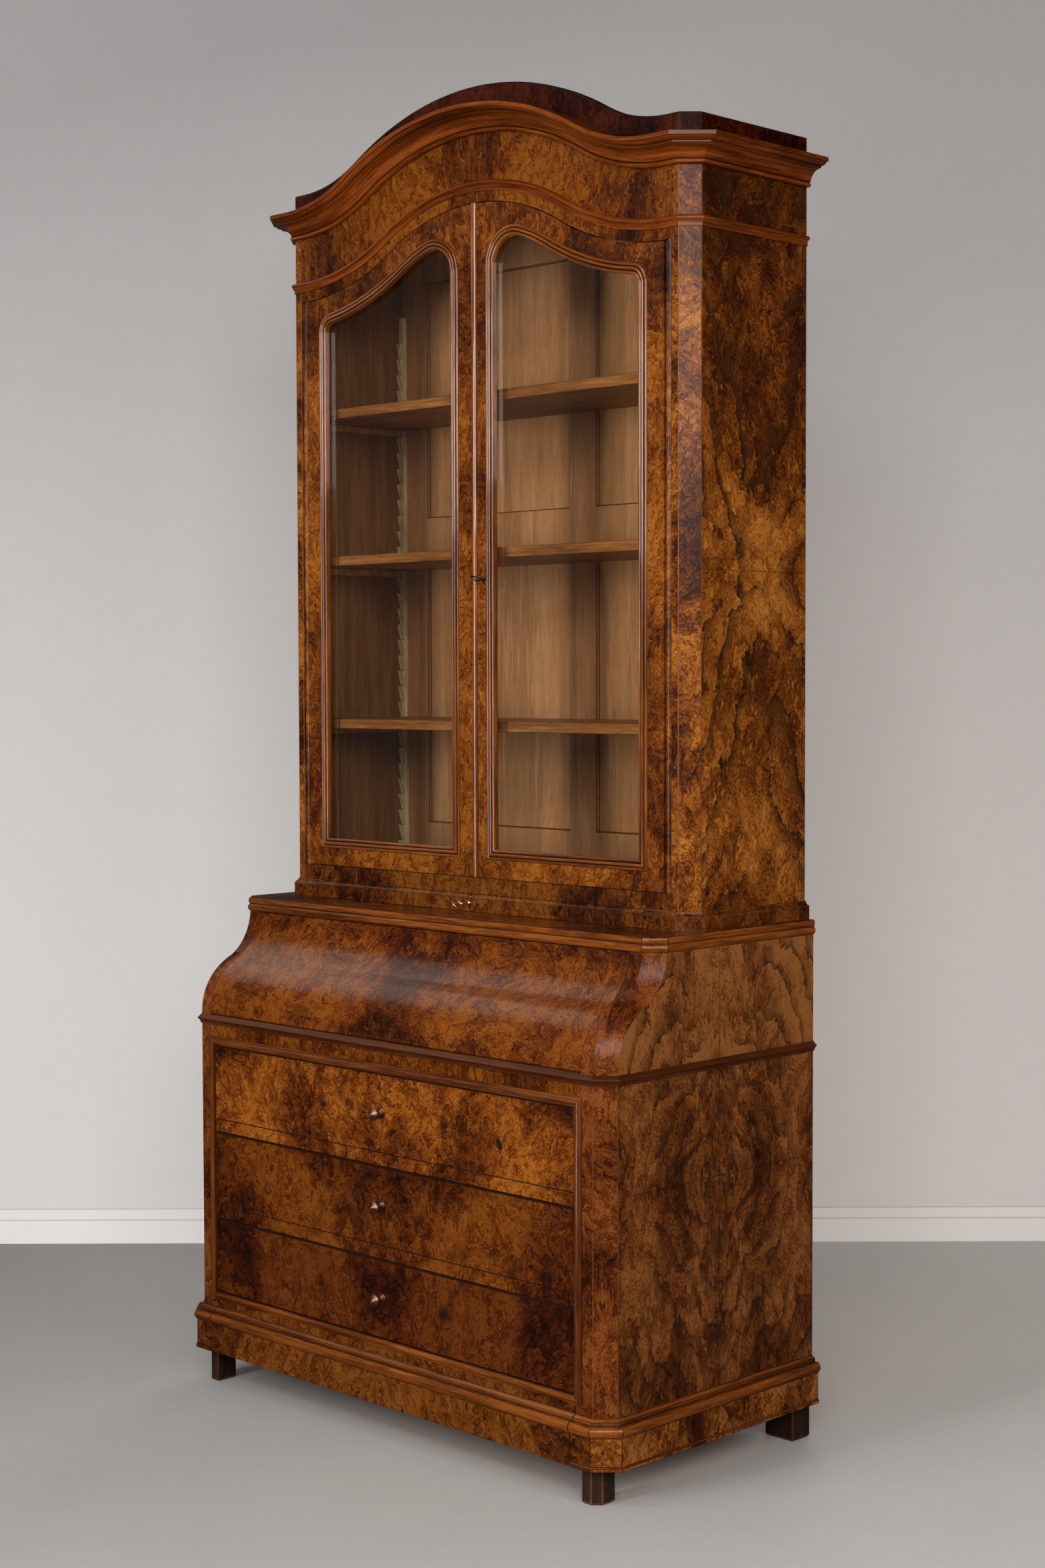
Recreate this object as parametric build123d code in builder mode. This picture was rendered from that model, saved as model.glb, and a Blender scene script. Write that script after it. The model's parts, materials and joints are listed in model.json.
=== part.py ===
"""Secretary desk: an arched glass-door bookcase over a desk with an ogee fall and drawers below.

Millimetres. +Z is up, the front faces -Y and the origin is the bottom centre of the whole piece.
"""
import os
from math import atan, atan2, cos, degrees, pi, sin, sqrt, tan

from build123d import *

os.makedirs("parts", exist_ok=True)

# Lower case
case_width = 1140.0
case_depth = 567.0
corner = 30.5            # leg of the chamfer at the front corners
board = 20.0             # thickness of the case sides
back_board = 14.0
post_depth = 45.0        # corner posts, front to back
post_face = 41.5         # flat front of a post, from the drawer opening to the chamfer
gap = 1.0                # shadow gap round a drawer front, fall or door
play = 0.3               # running clearance of what slides

# Feet and plinth
foot_height = 68.0
front_foot_width = 36.0
front_foot_depth = 46.0
front_foot_inset = 28.0  # in from the side of the case
front_foot_setback = 7.0
front_foot_corner = 14.5 # leg of the chamfer at a front foot's outer corner
back_foot_width = 66.0
back_foot_inset = 6.0
back_foot_depth = 50.0
foot_bevel = 3.0
plinth_height = 88.0
plinth_toe = 17.0        # overhang of the bead at the bottom
plinth_toe_height = 6.0
plinth_face = 14.5       # overhang of the flat face
plinth_nose = 20.0       # overhang of the torus
plinth_nose_drop = 30.0  # from the top of the plinth to the foot of the torus
plinth_torus = 19.0      # height of the torus
plinth_fillet = 7.0      # overhang of the fillet on top
plinth_fillet_height = 6.0
bottom_board = 12.0

# Drawers
drawer_face = 150.0      # height of a face
drawer_strip = 25.0      # strip below a face that hides the divider
drawer_front = 22.0
drawer_length = 470.0
drawer_wall = 12.0
drawer_floor = 8.0
drawer_headroom = 12.0
drawer_side_room = 8.0   # from the side of the opening to the drawer's side
strip_groove = 1.0
divider = 18.0
guide_height = 15.0
guide_width = 14.0
plinth_strip = 16.5      # veneered strip between plinth and frame moulding
frame_width = 16.0       # moulding round the drawers
frame_proud = 6.0
waist_strip = 23.5       # veneered strip above the frame moulding
knob_radius = 12.3
knob_reach = 27.0
knob_base = 9.0
knob_neck = 4.6

# Waist moulding, ogee fall and desk
waist_nose = 8.75
waist_nose_height = 11.3
fall_lift = 21.0         # from the bottom of the waist moulding to the fall
ogee_depth = 126.0
ogee_rise = 200.0
scroll_face = 27.5       # flat front of an upper post, from the fall's opening to the chamfer
fall_thinnest = 10.0
pivot_inset = 2.5
pivot_pin = 1.6
pivot_pin_length = 12.0
pivot_plate = 4.0
pivot_plate_width = 4.0
pivot_plate_length = 60.0
pin_clearance = 0.08
swing_gap = 0.6          # round the fall's lower edge
ledge_gap = 1.0          # between the fall's top edge and the ledge
lock_plate_half = 20.0
lock_plate_width = 12.0
lock_plate = 2.0
desk_height = 196.0      # from the fall's lower edge to the ledge
bed_board = 15.0
nest_setback = 300.0     # front of the pigeonholes behind the front of the case
nest_wall = 8.0
nest_middle = 210.0      # width of the middle pigeonhole
nest_drawers = 249.0     # width of a column with a small drawer
small_drawer_height = 55.0
small_knob = 6.0
small_knob_reach = 12.0
small_drawer_front = 10.0
small_drawer_wall = 7.0
ledge_setback = 126.3
ledge_height = 27.4
ledge_bead = 5.2
ledge_bead_height = 15.0

# Bookcase
book_width = 1099.0
book_setback = 242.6
book_corner = 29.0
book_plinth_height = 34.0
book_plinth_nose = 10.8
book_plinth_cove = 8.0
key_drawer_inset = 76.5  # from the chamfer to the key drawer
key_drawer_length = 250.0
key_drawer_wall = 8.0
key_drawer_floor = 4.0
key_drawer_front = 12.0
book_rail = 31.0         # rail between the key drawer and the doors
book_floor = 20.0
book_back = 18.0
book_back_panel = 10.0
back_member = 75.0
back_middle_rail = 650.0 # from the floor to the middle rail of the back
book_top = 18.0

# Doors and the arch above them
door_thickness = 22.0
door_shoulder = 1151.0   # from the floor to where the arch starts
arch_inset = 25.5        # from the chamfer to the end of the arch, where the doors hang
arch_rise = 132.0
arch_crown = 455.0       # radius of the crown at the top of the doors
door_edge = 7.5          # radius of the rounded hanging edge
door_rise = 1.5          # clearance under the doors
arch_gap = 2.0
outer_stile = 48.0
inner_stile = 38.0
door_rail = 35.0
pane_inner_round = 70.0
pane_outer_round = 38.0
glazing_width = 20.0
glazing_proud = 4.0
glazing_step = 2.8       # how proud the outer reeds are
glazing_quirk = 1.2
glazing_depth = 9.0
glass = 3.0
astragal_width = 13.0
astragal_proud = 6.0
hinge_pin = 3.0
hinge_pin_depth = 14.0
frieze_board = 22.0

# Arched mouldings, levels measured at the shoulders above the top of the doors
moulding_level = 22.0
moulding_height = 20.0
moulding_nose = 7.9
cornice_level = 129.0
cornice_height = 48.0
cornice_nose = 50.0
crest_level = 162.0
crest_height = 58.0

# Shelves on saw-tooth strips
tooth_pitch = 33.3
tooth_depth = 9.0
strip_width = 22.0
strip_thickness = 10.0
strip_top = 1155.0
cleat_height = 14.0
cleat_seat = 4.5
shelf_board = 20.0
shelf_setback = 34.0     # behind the front of the bookcase
shelf_teeth = (8, 18, 27)

# Keys
key_shank = 2.4
key_clearance = 0.08
key_bow = 11.0
key_bow_hole = 6.5
key_bow_thickness = 3.5
drawer_key_reach = 34.0  # from the lock's face to the middle of the bow
drawer_key_turn = 45.0   # turned from level
door_key_reach = 22.0
door_key_turn = 28.0
key_end = 8.0            # shank beyond the lock's skin
key_collar = 4.0
key_bit = 5.5
key_bit_width = 3.0
keyhole_slot = 4.0
keyhole_drop = 11.0
lock_room = 6.5          # radius of the space that the key turns in
lock_skin = 10.0         # from the face to that space
lock_depth = 9.0
door_key_height = 572.0  # above the floor of the bookcase
door_key_inset = 30.0

# Planes and levels that follow from the sizes above
half = case_width / 2
inner_half = half - board
opening_half = half - corner - post_face
fall_half = half - corner - scroll_face - gap
front = (knob_reach - case_depth) / 2
back = front + case_depth
back_face = back - back_board
plinth_top = foot_height + plinth_height
frame_bottom = plinth_top + plinth_strip
drawer_lines = [frame_bottom + frame_width]
for strip in (0.0, drawer_strip, drawer_strip):
    drawer_lines.append(drawer_lines[-1] + strip + drawer_face)
frame_top = drawer_lines[3] + frame_width
waist = frame_top + waist_strip
fall_bottom = waist + fall_lift
ogee_foot = fall_bottom + pivot_inset
ledge = fall_bottom + desk_height
ledge_top = ledge + ledge_height
book_half = book_width / 2
book_inner = book_half - board
arch_half = book_half - book_corner - arch_inset
key_drawer_half = book_half - book_corner - key_drawer_inset
book_front = front + book_setback
book_plinth_top = ledge_top + book_plinth_height
floor_top = book_plinth_top + book_rail
shoulder = floor_top + door_shoulder
crest_seat = shoulder + crest_level

# The ogee is two equal arcs that leave and end upright
ogee_turn = 2 * atan(ogee_depth / ogee_rise)
ogee_radius = ogee_rise / 2 / sin(ogee_turn)

# The fall turns on a pivot near its lower front edge until its flat inner face is level with the bed
slope = atan2(ogee_rise, ogee_depth)
along = Vector(cos(slope), sin(slope))
inward = Vector(sin(slope), -cos(slope))
pivot = Vector(front + pivot_inset, ogee_foot)
fall_depth = ogee_radius * (1 - cos(ogee_turn / 2)) + fall_thinnest
fall_reach = fall_depth - pivot_inset * sin(slope)
bed = pivot.Y + fall_reach
ledge_edge = Vector(front + ledge_setback, ledge)
fall_radius = (ledge_edge - pivot).length - ledge_gap
ridge = pivot.Y - (pivot_inset + swing_gap) / sin(slope)
waist_top = ridge - pivot_inset / tan(slope)

# Every arched line shares its centres, so the mouldings keep their width
arch_turn = 2 * atan(arch_rise / arch_half)
arch_radii = (arch_half**2 + arch_rise**2) / (2 * arch_rise)


def save(piece, name):
    piece.part.label = name
    export_step(piece.part, f"parts/{name}.step")


def save_sides(piece, name):
    """Write a right-hand piece and its mirror image as two nodes."""
    save(piece, f"{name}_right")
    with BuildPart() as other:
        mirror(piece.part, about=Plane.YZ)
    save(other, f"{name}_left")


def save_both(piece, name):
    """Write a right-hand piece and its mirror image as the two solids of one node."""
    with BuildPart() as both:
        add(piece.part)
        mirror(piece.part, about=Plane.YZ)
    save(both, name)


def block(x, y, z, mode=Mode.ADD):
    """Add or cut a box given by its limits."""
    with Locations(((x[0] + x[1]) / 2, (y[0] + y[1]) / 2, (z[0] + z[1]) / 2)):
        Box(x[1] - x[0], y[1] - y[0], z[1] - z[0], mode=mode)


def section(x, y, z=0.0):
    """Plane across a moulding that starts towards +X: overhang is its x and height its y."""
    return Plane((x, y, z), x_dir=(0, -1, 0), z_dir=(-1, 0, 0))


def corner_points(start, width_half, y, leg, z):
    """Route of a moulding from the front, round the right-hand corner and to the back."""
    return (
        (start, y, z),
        (width_half - leg, y, z),
        (width_half, y + leg, z),
        (width_half, back, z),
    )


def round_points(width_half, y, leg, z):
    """Route of a moulding from back to back round both corners."""
    right = corner_points(width_half - leg, width_half, y, leg, z)[1:]
    left = [(-px, py, pz) for px, py, pz in reversed(right)]
    return (*left, *right)


def ogee(shift=0.0):
    """The ogee, in YZ, moved back by the shift."""
    low = (front + shift, ogee_foot)
    middle = (front + shift + ogee_depth / 2, ogee_foot + ogee_rise / 2)
    high = (front + shift + ogee_depth, ogee_foot + ogee_rise)
    TangentArc(low, middle, tangent=(0, 1))
    TangentArc(high, middle, tangent=(0, -1))


def arch_height(level, x):
    """Height of the arch at x, for shoulders at this level."""
    crown = arch_crown + level - shoulder
    hollow = arch_radii - crown
    if abs(x) < crown * sin(arch_turn):
        return level + arch_rise - crown + sqrt(crown**2 - x**2)
    return level + hollow - sqrt(hollow**2 - (arch_half - abs(x)) ** 2)


def arc(level, start, end):
    """One arc of the arch between two values of x."""
    middle = (start + end) / 2
    ThreePointArc(*[(x, arch_height(level, x)) for x in (start, middle, end)])


def half_arch(level, outer, inner):
    """The right-hand half of the arch from x = outer to x = inner: a hollow, then the crown."""
    turn = (arch_crown + level - shoulder) * sin(arch_turn)
    arc(level, outer, turn)
    arc(level, turn, inner)


def arch(level):
    """The whole arch, in XZ, whose shoulders are at this level."""
    turn = (arch_crown + level - shoulder) * sin(arch_turn)
    arc(level, -arch_half, -turn)
    arc(level, -turn, turn)
    arc(level, turn, arch_half)


def wrapped(name, level, outline):
    """A moulding along the arch and round both corners to the back."""
    with BuildPart() as moulding:
        with BuildLine(Plane.XZ.offset(-book_front)) as crown_route:
            arch(level)
        with BuildLine() as return_route:
            Polyline(*corner_points(arch_half, book_half, book_front, book_corner, level))
        with BuildSketch(section(-arch_half, book_front, level)) as crown_profile:
            with BuildLine():
                outline()
            make_face()
        sweep(sections=crown_profile.sketch, path=crown_route.wire())
        with BuildSketch(section(arch_half, book_front, level)) as return_profile:
            with BuildLine():
                outline()
            make_face()
        sweep(return_profile.sketch, return_route.wire(), transition=Transition.RIGHT)
        mirror(about=Plane.YZ)
    save(moulding, name)


# Feet: blocks with bevelled lower edges, the front ones chamfered like the corners of the case
def foot(x, y, leg=0.0):
    with BuildPart() as piece:
        block(x, y, (0, foot_height))
        if leg:
            upright = piece.edges().filter_by(Axis.Z)
            chamfer(upright.sort_by_distance((x[1], y[0], 0))[0], leg)
        chamfer(piece.faces().sort_by(Axis.Z)[0].edges(), foot_bevel)
    return piece


front_foot_x = half - front_foot_inset
save_both(
    foot(
        (front_foot_x - front_foot_width, front_foot_x),
        (front + front_foot_setback, front + front_foot_setback + front_foot_depth),
        front_foot_corner,
    ),
    "feet_front",
)
back_foot_x = half - back_foot_inset
save_both(
    foot((back_foot_x - back_foot_width, back_foot_x), (back - back_foot_depth, back)),
    "feet_back",
)


# Plinth: two corner pieces, with the concealed drawer's front between them
def plinth_edge(*low):
    """Outer line of the plinth above these lower points, as overhang and height."""
    torus = plinth_top - plinth_nose_drop
    fillet = torus + plinth_torus
    Polyline(*low, (plinth_face, torus))
    ThreePointArc(
        (plinth_face, torus),
        (plinth_nose, torus + plinth_torus / 2),
        (plinth_face, fillet),
    )
    Line((plinth_face, fillet), (plinth_fillet, fillet))
    Line((plinth_fillet, fillet), (plinth_fillet, fillet + plinth_fillet_height))
    Line((plinth_fillet, fillet + plinth_fillet_height), (0, plinth_top))


toe_top = foot_height + plinth_toe_height
with BuildPart() as plinth:
    with BuildLine() as route:
        Polyline(*corner_points(opening_half, half, front, corner, 0))
    with BuildSketch(section(opening_half, front)) as profile:
        with BuildLine():
            plinth_edge((plinth_toe, foot_height), (plinth_toe, toe_top), (plinth_face, toe_top + 2))
            Polyline(
                (0, plinth_top), (-board, plinth_top), (-board, foot_height), (plinth_toe, foot_height)
            )
        make_face()
    sweep(profile.sketch, route.wire(), transition=Transition.RIGHT)
save_sides(plinth, "plinth")

# Bottom board, cut to the inside of the plinth, with the guides of the concealed drawer
drawer_half = opening_half - drawer_side_room
board_front = front + drawer_front + gap
corner_line = half - corner - board * sqrt(2)
with BuildPart() as base:
    with BuildSketch(Plane.XY.offset(foot_height)):
        with BuildLine():
            Polyline(
                (0, board_front),
                (corner_line + board_front - front, board_front),
                (inner_half, front + inner_half - corner_line),
                (inner_half, back_face),
                (0, back_face),
                close=True,
            )
        make_face()
        mirror(about=Plane.YZ)
    extrude(amount=bottom_board)
    guide = (drawer_half + play, drawer_half + play + guide_width)
    rise = (foot_height + bottom_board, foot_height + bottom_board + guide_height)
    block(guide, (front + post_depth, back_face), rise)
    block((-guide[1], -guide[0]), (front + post_depth, back_face), rise)
save(base, "bottom_board")

# Sides with their ogee front edge
with BuildPart() as side:
    with BuildSketch(Plane.YZ.offset(inner_half)):
        with BuildLine():
            Line((front + corner, plinth_top), (front + corner, ogee_foot))
            ogee(corner)
            ogee_top = ogee_foot + ogee_rise
            Polyline(
                (front + corner + ogee_depth, ogee_top),
                (back, ogee_top),
                (back, plinth_top),
                (front + corner, plinth_top),
            )
        make_face()
    extrude(amount=board)
    split(bisect_by=Plane.XY.offset(ledge), keep=Keep.BOTTOM)
save_sides(side, "side")


def post_outline(inner_x, width_half, y, leg):
    """Plan of a corner post: chamfered outside, rebated for the side behind it."""
    Polyline(
        (inner_x, y),
        (width_half - leg, y),
        (width_half, y + leg),
        (width_half - board, y + leg),
        (width_half - board, y + post_depth),
        (inner_x, y + post_depth),
        close=True,
    )


with BuildPart() as lower_post:
    with BuildSketch(Plane.XY.offset(plinth_top)):
        with BuildLine():
            post_outline(opening_half, half, front, corner)
        make_face()
    extrude(amount=waist - plinth_top)
save_both(lower_post, "lower_posts")

# Upper posts follow the ogee without turning, and hold the fall's pivots
with BuildPart() as scroll_post:
    with BuildLine(Plane.YZ) as route:
        Line((front, waist), (front, ogee_foot))
        ogee()
    with BuildSketch(Plane.XY.offset(waist)) as plan:
        with BuildLine():
            post_outline(fall_half + gap, half, front, corner)
        make_face()
    sweep(plan.sketch, route.wire(), normal=(0, 0, 1))
    split(bisect_by=Plane.XY.offset(ledge), keep=Keep.BOTTOM)
    with BuildSketch(Plane.YZ.offset(fall_half)):
        with Locations((pivot.X, pivot.Y)):
            Circle(pivot_pin + pin_clearance)
    extrude(amount=gap + pivot_pin_length + gap, mode=Mode.SUBTRACT)
save_sides(scroll_post, "scroll_post")

with BuildPart() as lower_back:
    block((-inner_half, inner_half), (back_face, back), (foot_height, ledge))
save(lower_back, "lower_back")


# Boards between the drawers, narrower between the posts
def inner_board(y, z):
    block((-opening_half, opening_half), (y, front + post_depth), z)
    block((-inner_half, inner_half), (front + post_depth, back_face), z)


with BuildPart() as dividers:
    for line, strip in zip(drawer_lines[:3], (0.0, drawer_strip, drawer_strip)):
        top = line + strip
        inner_board(board_front, (top - divider, top))
        for x in (guide, (-guide[1], -guide[0])):
            block(x, (front + post_depth, back_face), (top, top + guide_height))
save(dividers, "dividers")

with BuildPart() as waist_rail:
    rail_top = (drawer_lines[3], waist)
    block((-opening_half, opening_half), (front, board_front), rail_top)
    inner_board(board_front, (waist - divider, waist))
save(waist_rail, "waist_rail")


# Moulding round the drawers, whose lower side is on the concealed drawer
def frame_outline():
    """Across the moulding from the drawers outwards, and proud of the case."""
    Polyline((0, 0), (0, frame_proud / 2), (2, frame_proud / 2))
    ThreePointArc(
        (2, frame_proud / 2),
        (frame_width * 0.35, frame_proud),
        (frame_width - 4, frame_proud / 2),
    )
    Polyline(
        (frame_width - 4, frame_proud / 2), (frame_width, frame_proud / 3), (frame_width, 0), (0, 0)
    )


with BuildPart() as drawer_frame:
    with BuildLine(Plane.XZ.offset(-front)) as route:
        Polyline(
            (-opening_half, frame_bottom),
            (-opening_half, drawer_lines[3]),
            (opening_half, drawer_lines[3]),
            (opening_half, frame_bottom),
        )
    across = Plane((-opening_half, front, frame_bottom), x_dir=(-1, 0, 0), z_dir=(0, 0, 1))
    with BuildSketch(across) as profile:
        with BuildLine():
            frame_outline()
        make_face()
    sweep(profile.sketch, route.wire(), transition=Transition.RIGHT)
    with BuildSketch(Plane.XZ.offset(-front)):
        with BuildLine():
            Polyline(
                (opening_half, frame_bottom + frame_width),
                (opening_half + frame_width, frame_bottom),
                (opening_half, frame_bottom),
                close=True,
            )
        make_face()
        mirror(about=Plane.YZ)
    extrude(amount=2 * frame_proud, mode=Mode.SUBTRACT)
save(drawer_frame, "drawer_frame")


# Drawers
def tray(x_half, y, z, wall, floor):
    """Drawer box: two sides, a back and a bottom."""
    block((-x_half, x_half), y, z)
    block(
        (-x_half + wall, x_half - wall),
        (y[0] + wall, y[1] - wall),
        (z[0] + floor, z[1]),
        Mode.SUBTRACT,
    )


drawer_back = front + drawer_front + drawer_length
for number in (1, 2, 3):
    low = drawer_lines[3 - number]
    high = drawer_lines[4 - number]
    strip = drawer_strip if number < 3 else 0.0
    with BuildPart() as drawer:
        block(
            (-opening_half + gap, opening_half - gap),
            (front, front + drawer_front),
            (low + gap / 2, high - gap / 2),
        )
        if strip:
            groove = low + strip
            block(
                (-opening_half, opening_half),
                (front, front + strip_groove),
                (groove, groove + strip_groove),
                Mode.SUBTRACT,
            )
    save(drawer, f"drawer_{number}_front")
    with BuildPart() as box:
        tray(
            drawer_half,
            (front + drawer_front, drawer_back),
            (low + strip + play, high - drawer_headroom),
            drawer_wall,
            drawer_floor,
        )
    save(box, f"drawer_{number}_box")
    with BuildPart() as knob:
        middle = (low + strip + high) / 2
        with BuildSketch(Plane.YZ):
            with BuildLine():
                Polyline(
                    (front, middle),
                    (front, middle + knob_base),
                    (front - 2, middle + knob_base),
                    (front - 4, middle + knob_neck),
                    (front - knob_reach * 0.5, middle + knob_neck),
                )
                ThreePointArc(
                    (front - knob_reach * 0.5, middle + knob_neck),
                    (front - knob_reach * 0.72, middle + knob_radius),
                    (front - knob_reach * 0.88, middle + knob_radius * 0.75),
                )
                Polyline(
                    (front - knob_reach * 0.88, middle + knob_radius * 0.75),
                    (front - knob_reach * 0.84, middle + knob_radius * 0.68),
                    (front - knob_reach * 0.95, middle + knob_radius * 0.45),
                    (front - knob_reach * 0.92, middle + knob_radius * 0.38),
                    (front - knob_reach, middle + knob_radius * 0.2),
                    (front - knob_reach, middle),
                    (front, middle),
                )
            make_face()
        revolve(axis=Axis((0, front, middle), (0, 1, 0)))
    save(knob, f"drawer_{number}_knob")

with BuildPart() as plinth_front:
    with BuildSketch(section(opening_half - gap, front)):
        with BuildLine():
            plinth_edge((plinth_face, foot_height))
            Polyline(
                (0, plinth_top),
                (0, drawer_lines[0] - gap / 2),
                (-drawer_front, drawer_lines[0] - gap / 2),
                (-drawer_front, foot_height),
                (plinth_face, foot_height),
            )
        make_face()
    extrude(amount=2 * (opening_half - gap))
    across = Plane(
        (opening_half + frame_width, front, frame_bottom + frame_width),
        x_dir=(0, 0, -1),
        z_dir=(-1, 0, 0),
    )
    with BuildSketch(across):
        with BuildLine():
            frame_outline()
        make_face()
    extrude(amount=2 * (opening_half + frame_width))
    with BuildSketch(Plane.XZ.offset(-front)):
        with BuildLine():
            Polyline(
                (opening_half - gap, frame_bottom + frame_width),
                (opening_half + frame_width, frame_bottom + frame_width),
                (opening_half + frame_width, frame_bottom - gap),
                close=True,
            )
        make_face()
        mirror(about=Plane.YZ)
    extrude(amount=2 * frame_proud, mode=Mode.SUBTRACT)
save(plinth_front, "plinth_drawer_front")
with BuildPart() as plinth_box:
    tray(
        drawer_half,
        (front + drawer_front, drawer_back),
        (foot_height + bottom_board + play, drawer_lines[0] - divider - drawer_headroom),
        drawer_wall,
        drawer_floor,
    )
save(plinth_box, "plinth_drawer_box")

# Waist moulding round three sides
with BuildPart() as waist_moulding:
    with BuildLine() as route:
        Polyline(*round_points(half, front, corner, 0))
    with BuildSketch(Plane((-half, back, 0), x_dir=(-1, 0, 0), z_dir=(0, 1, 0))) as profile:
        with BuildLine():
            Polyline((0, waist), (waist_nose * 0.3, waist))
            ThreePointArc(
                (waist_nose * 0.3, waist),
                (waist_nose * 0.55, waist + waist_nose_height * 0.55),
                (waist_nose, waist + waist_nose_height * 0.85),
            )
            Polyline(
                (waist_nose, waist + waist_nose_height * 0.85),
                (waist_nose, waist + waist_nose_height),
                (0, waist_top),
                (0, waist),
            )
        make_face()
    sweep(profile.sketch, route.wire(), transition=Transition.RIGHT)
save(waist_moulding, "waist_moulding")

# Desk bed, with a hollowed nose that the fall's lower edge turns in
nose_reach = fall_reach + swing_gap
nose_tip = pivot - along * (pivot_inset + swing_gap) + inward * nose_reach
nose_foot = pivot + inward * nose_reach
nose_back = nose_foot + along * ((bed - nose_foot.Y) / along.Y)
with BuildPart() as desk_bed:
    with BuildSketch(Plane.YZ.offset(-fall_half - gap)):
        with BuildLine():
            Polyline(
                (front, waist),
                (front, waist_top),
                (pivot.X, ridge),
                (nose_tip.X, nose_tip.Y),
                (nose_back.X, nose_back.Y),
                (nose_back.X + bed_board, nose_back.Y),
                (nose_back.X + bed_board, waist),
                close=True,
            )
        make_face()
    extrude(amount=2 * (fall_half + gap))
    bed_side = front + post_depth + ogee_radius - sqrt(ogee_radius**2 - fall_reach**2) + gap
    block((-fall_half, fall_half), (nose_back.X, bed_side), (bed - bed_board, bed))
    block((-inner_half, inner_half), (bed_side, back_face), (bed - bed_board, bed))
save(desk_bed, "desk_bed")

# Fall: ogee outside, flat inside, its top edge rounded to its swing
def pivot_outline():
    """Plate let into the end of the fall, from the pivot up."""
    with Locations((pivot.X, pivot.Y)):
        Circle(pivot_plate_width / 2)
    middle = pivot + along * (pivot_plate_length / 2)
    with Locations((middle.X, middle.Y)):
        Rectangle(pivot_plate_length, pivot_plate_width, rotation=degrees(slope))


def lock_outline():
    """Lock plate let into the top edge of the fall."""
    with Locations((pivot.X, pivot.Y)):
        Circle(fall_radius)
        Circle(fall_radius - lock_plate, mode=Mode.SUBTRACT)
    middle = pivot + inward * (fall_reach - lock_plate_width) + along * fall_radius
    with Locations((middle.X, middle.Y)):
        Rectangle(10 * lock_plate, lock_plate_width, rotation=degrees(slope), mode=Mode.INTERSECT)


with BuildPart() as fall:
    with BuildSketch(Plane.YZ.offset(-fall_half)):
        with BuildLine():
            lower = pivot - along * pivot_inset
            tip = lower + inward * fall_reach
            end = pivot + inward * fall_reach + along * (fall_radius + fall_depth)
            edge = pivot + Vector(cos(slope / 2), sin(slope / 2)) * -pivot_inset
            ogee()
            Polyline(
                (front + ogee_depth, ogee_foot + ogee_rise),
                (end.X, end.Y),
                (tip.X, tip.Y),
                (lower.X, lower.Y),
            )
            ThreePointArc((lower.X, lower.Y), (edge.X, edge.Y), (front, pivot.Y))
        make_face()
        with Locations((pivot.X, pivot.Y)):
            Circle(fall_radius, mode=Mode.INTERSECT)
    extrude(amount=2 * fall_half)
    for x in (-fall_half, fall_half - pivot_plate):
        with BuildSketch(Plane.YZ.offset(x)):
            pivot_outline()
        extrude(amount=pivot_plate, mode=Mode.SUBTRACT)
    with BuildSketch(Plane.YZ.offset(-lock_plate_half)):
        lock_outline()
    extrude(amount=2 * lock_plate_half, mode=Mode.SUBTRACT)
save(fall, "fall")

with BuildPart() as fall_pivot:
    with BuildSketch(Plane.YZ.offset(fall_half - pivot_plate)):
        pivot_outline()
    extrude(amount=pivot_plate)
    with BuildSketch(Plane.YZ.offset(fall_half)):
        with Locations((pivot.X, pivot.Y)):
            Circle(pivot_pin)
    extrude(amount=gap + pivot_pin_length)
save_both(fall_pivot, "fall_pivots")

with BuildPart() as fall_lock:
    with BuildSketch(Plane.YZ.offset(-lock_plate_half)):
        lock_outline()
    extrude(amount=2 * lock_plate_half)
save(fall_lock, "fall_lock")

# Pigeonholes, with a small drawer on each side of the middle
nest_front = front + nest_setback
nest = (nest_front, back_face - nest_wall)
nest_low = bed + nest_wall
nest_high = ledge - nest_wall
nest_shelf = nest_low + small_drawer_height
column = nest_middle / 2
drawer_column = (column + nest_wall / 2, column + nest_drawers - nest_wall / 2)
outer_column = (column + nest_drawers + nest_wall / 2, inner_half - nest_wall)
with BuildPart() as pigeonholes:
    block((-inner_half, inner_half), (nest_front, back_face), (bed, ledge))
    block((-column + nest_wall / 2, column - nest_wall / 2), nest, (nest_low, nest_high), Mode.SUBTRACT)
    for sign in (1, -1):
        inner_cell = sorted(sign * x for x in drawer_column)
        outer_cell = sorted(sign * x for x in outer_column)
        block(inner_cell, nest, (nest_low, nest_shelf), Mode.SUBTRACT)
        block(inner_cell, nest, (nest_shelf + nest_wall, nest_high), Mode.SUBTRACT)
        block(outer_cell, nest, (nest_low, nest_high), Mode.SUBTRACT)
save(pigeonholes, "pigeonholes")

with BuildPart() as small_drawer:
    across = (drawer_column[0] + gap, drawer_column[1] - gap)
    box_front = nest_front + small_drawer_front
    box_back = nest[1] - nest_wall
    block(across, (nest_front, box_back), (nest_low + play, nest_shelf - gap))
    block(
        (across[0] + small_drawer_wall, across[1] - small_drawer_wall),
        (box_front, box_back - small_drawer_wall),
        (nest_low + small_drawer_wall, nest_shelf),
        Mode.SUBTRACT,
    )
    with BuildSketch(Plane.XZ.offset(-nest_front)):
        with Locations((sum(across) / 2, (nest_low + nest_shelf) / 2)):
            Circle(small_knob / 2)
    extrude(amount=small_knob_reach / 2)
    with BuildSketch(Plane.XZ.offset(small_knob_reach / 2 - nest_front)):
        with Locations((sum(across) / 2, (nest_low + nest_shelf) / 2)):
            Circle(small_knob)
    extrude(amount=small_knob_reach / 2)
    chamfer(small_drawer.faces().sort_by(Axis.Y)[0].edges(), small_knob / 4)
save_sides(small_drawer, "small_drawer")

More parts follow.
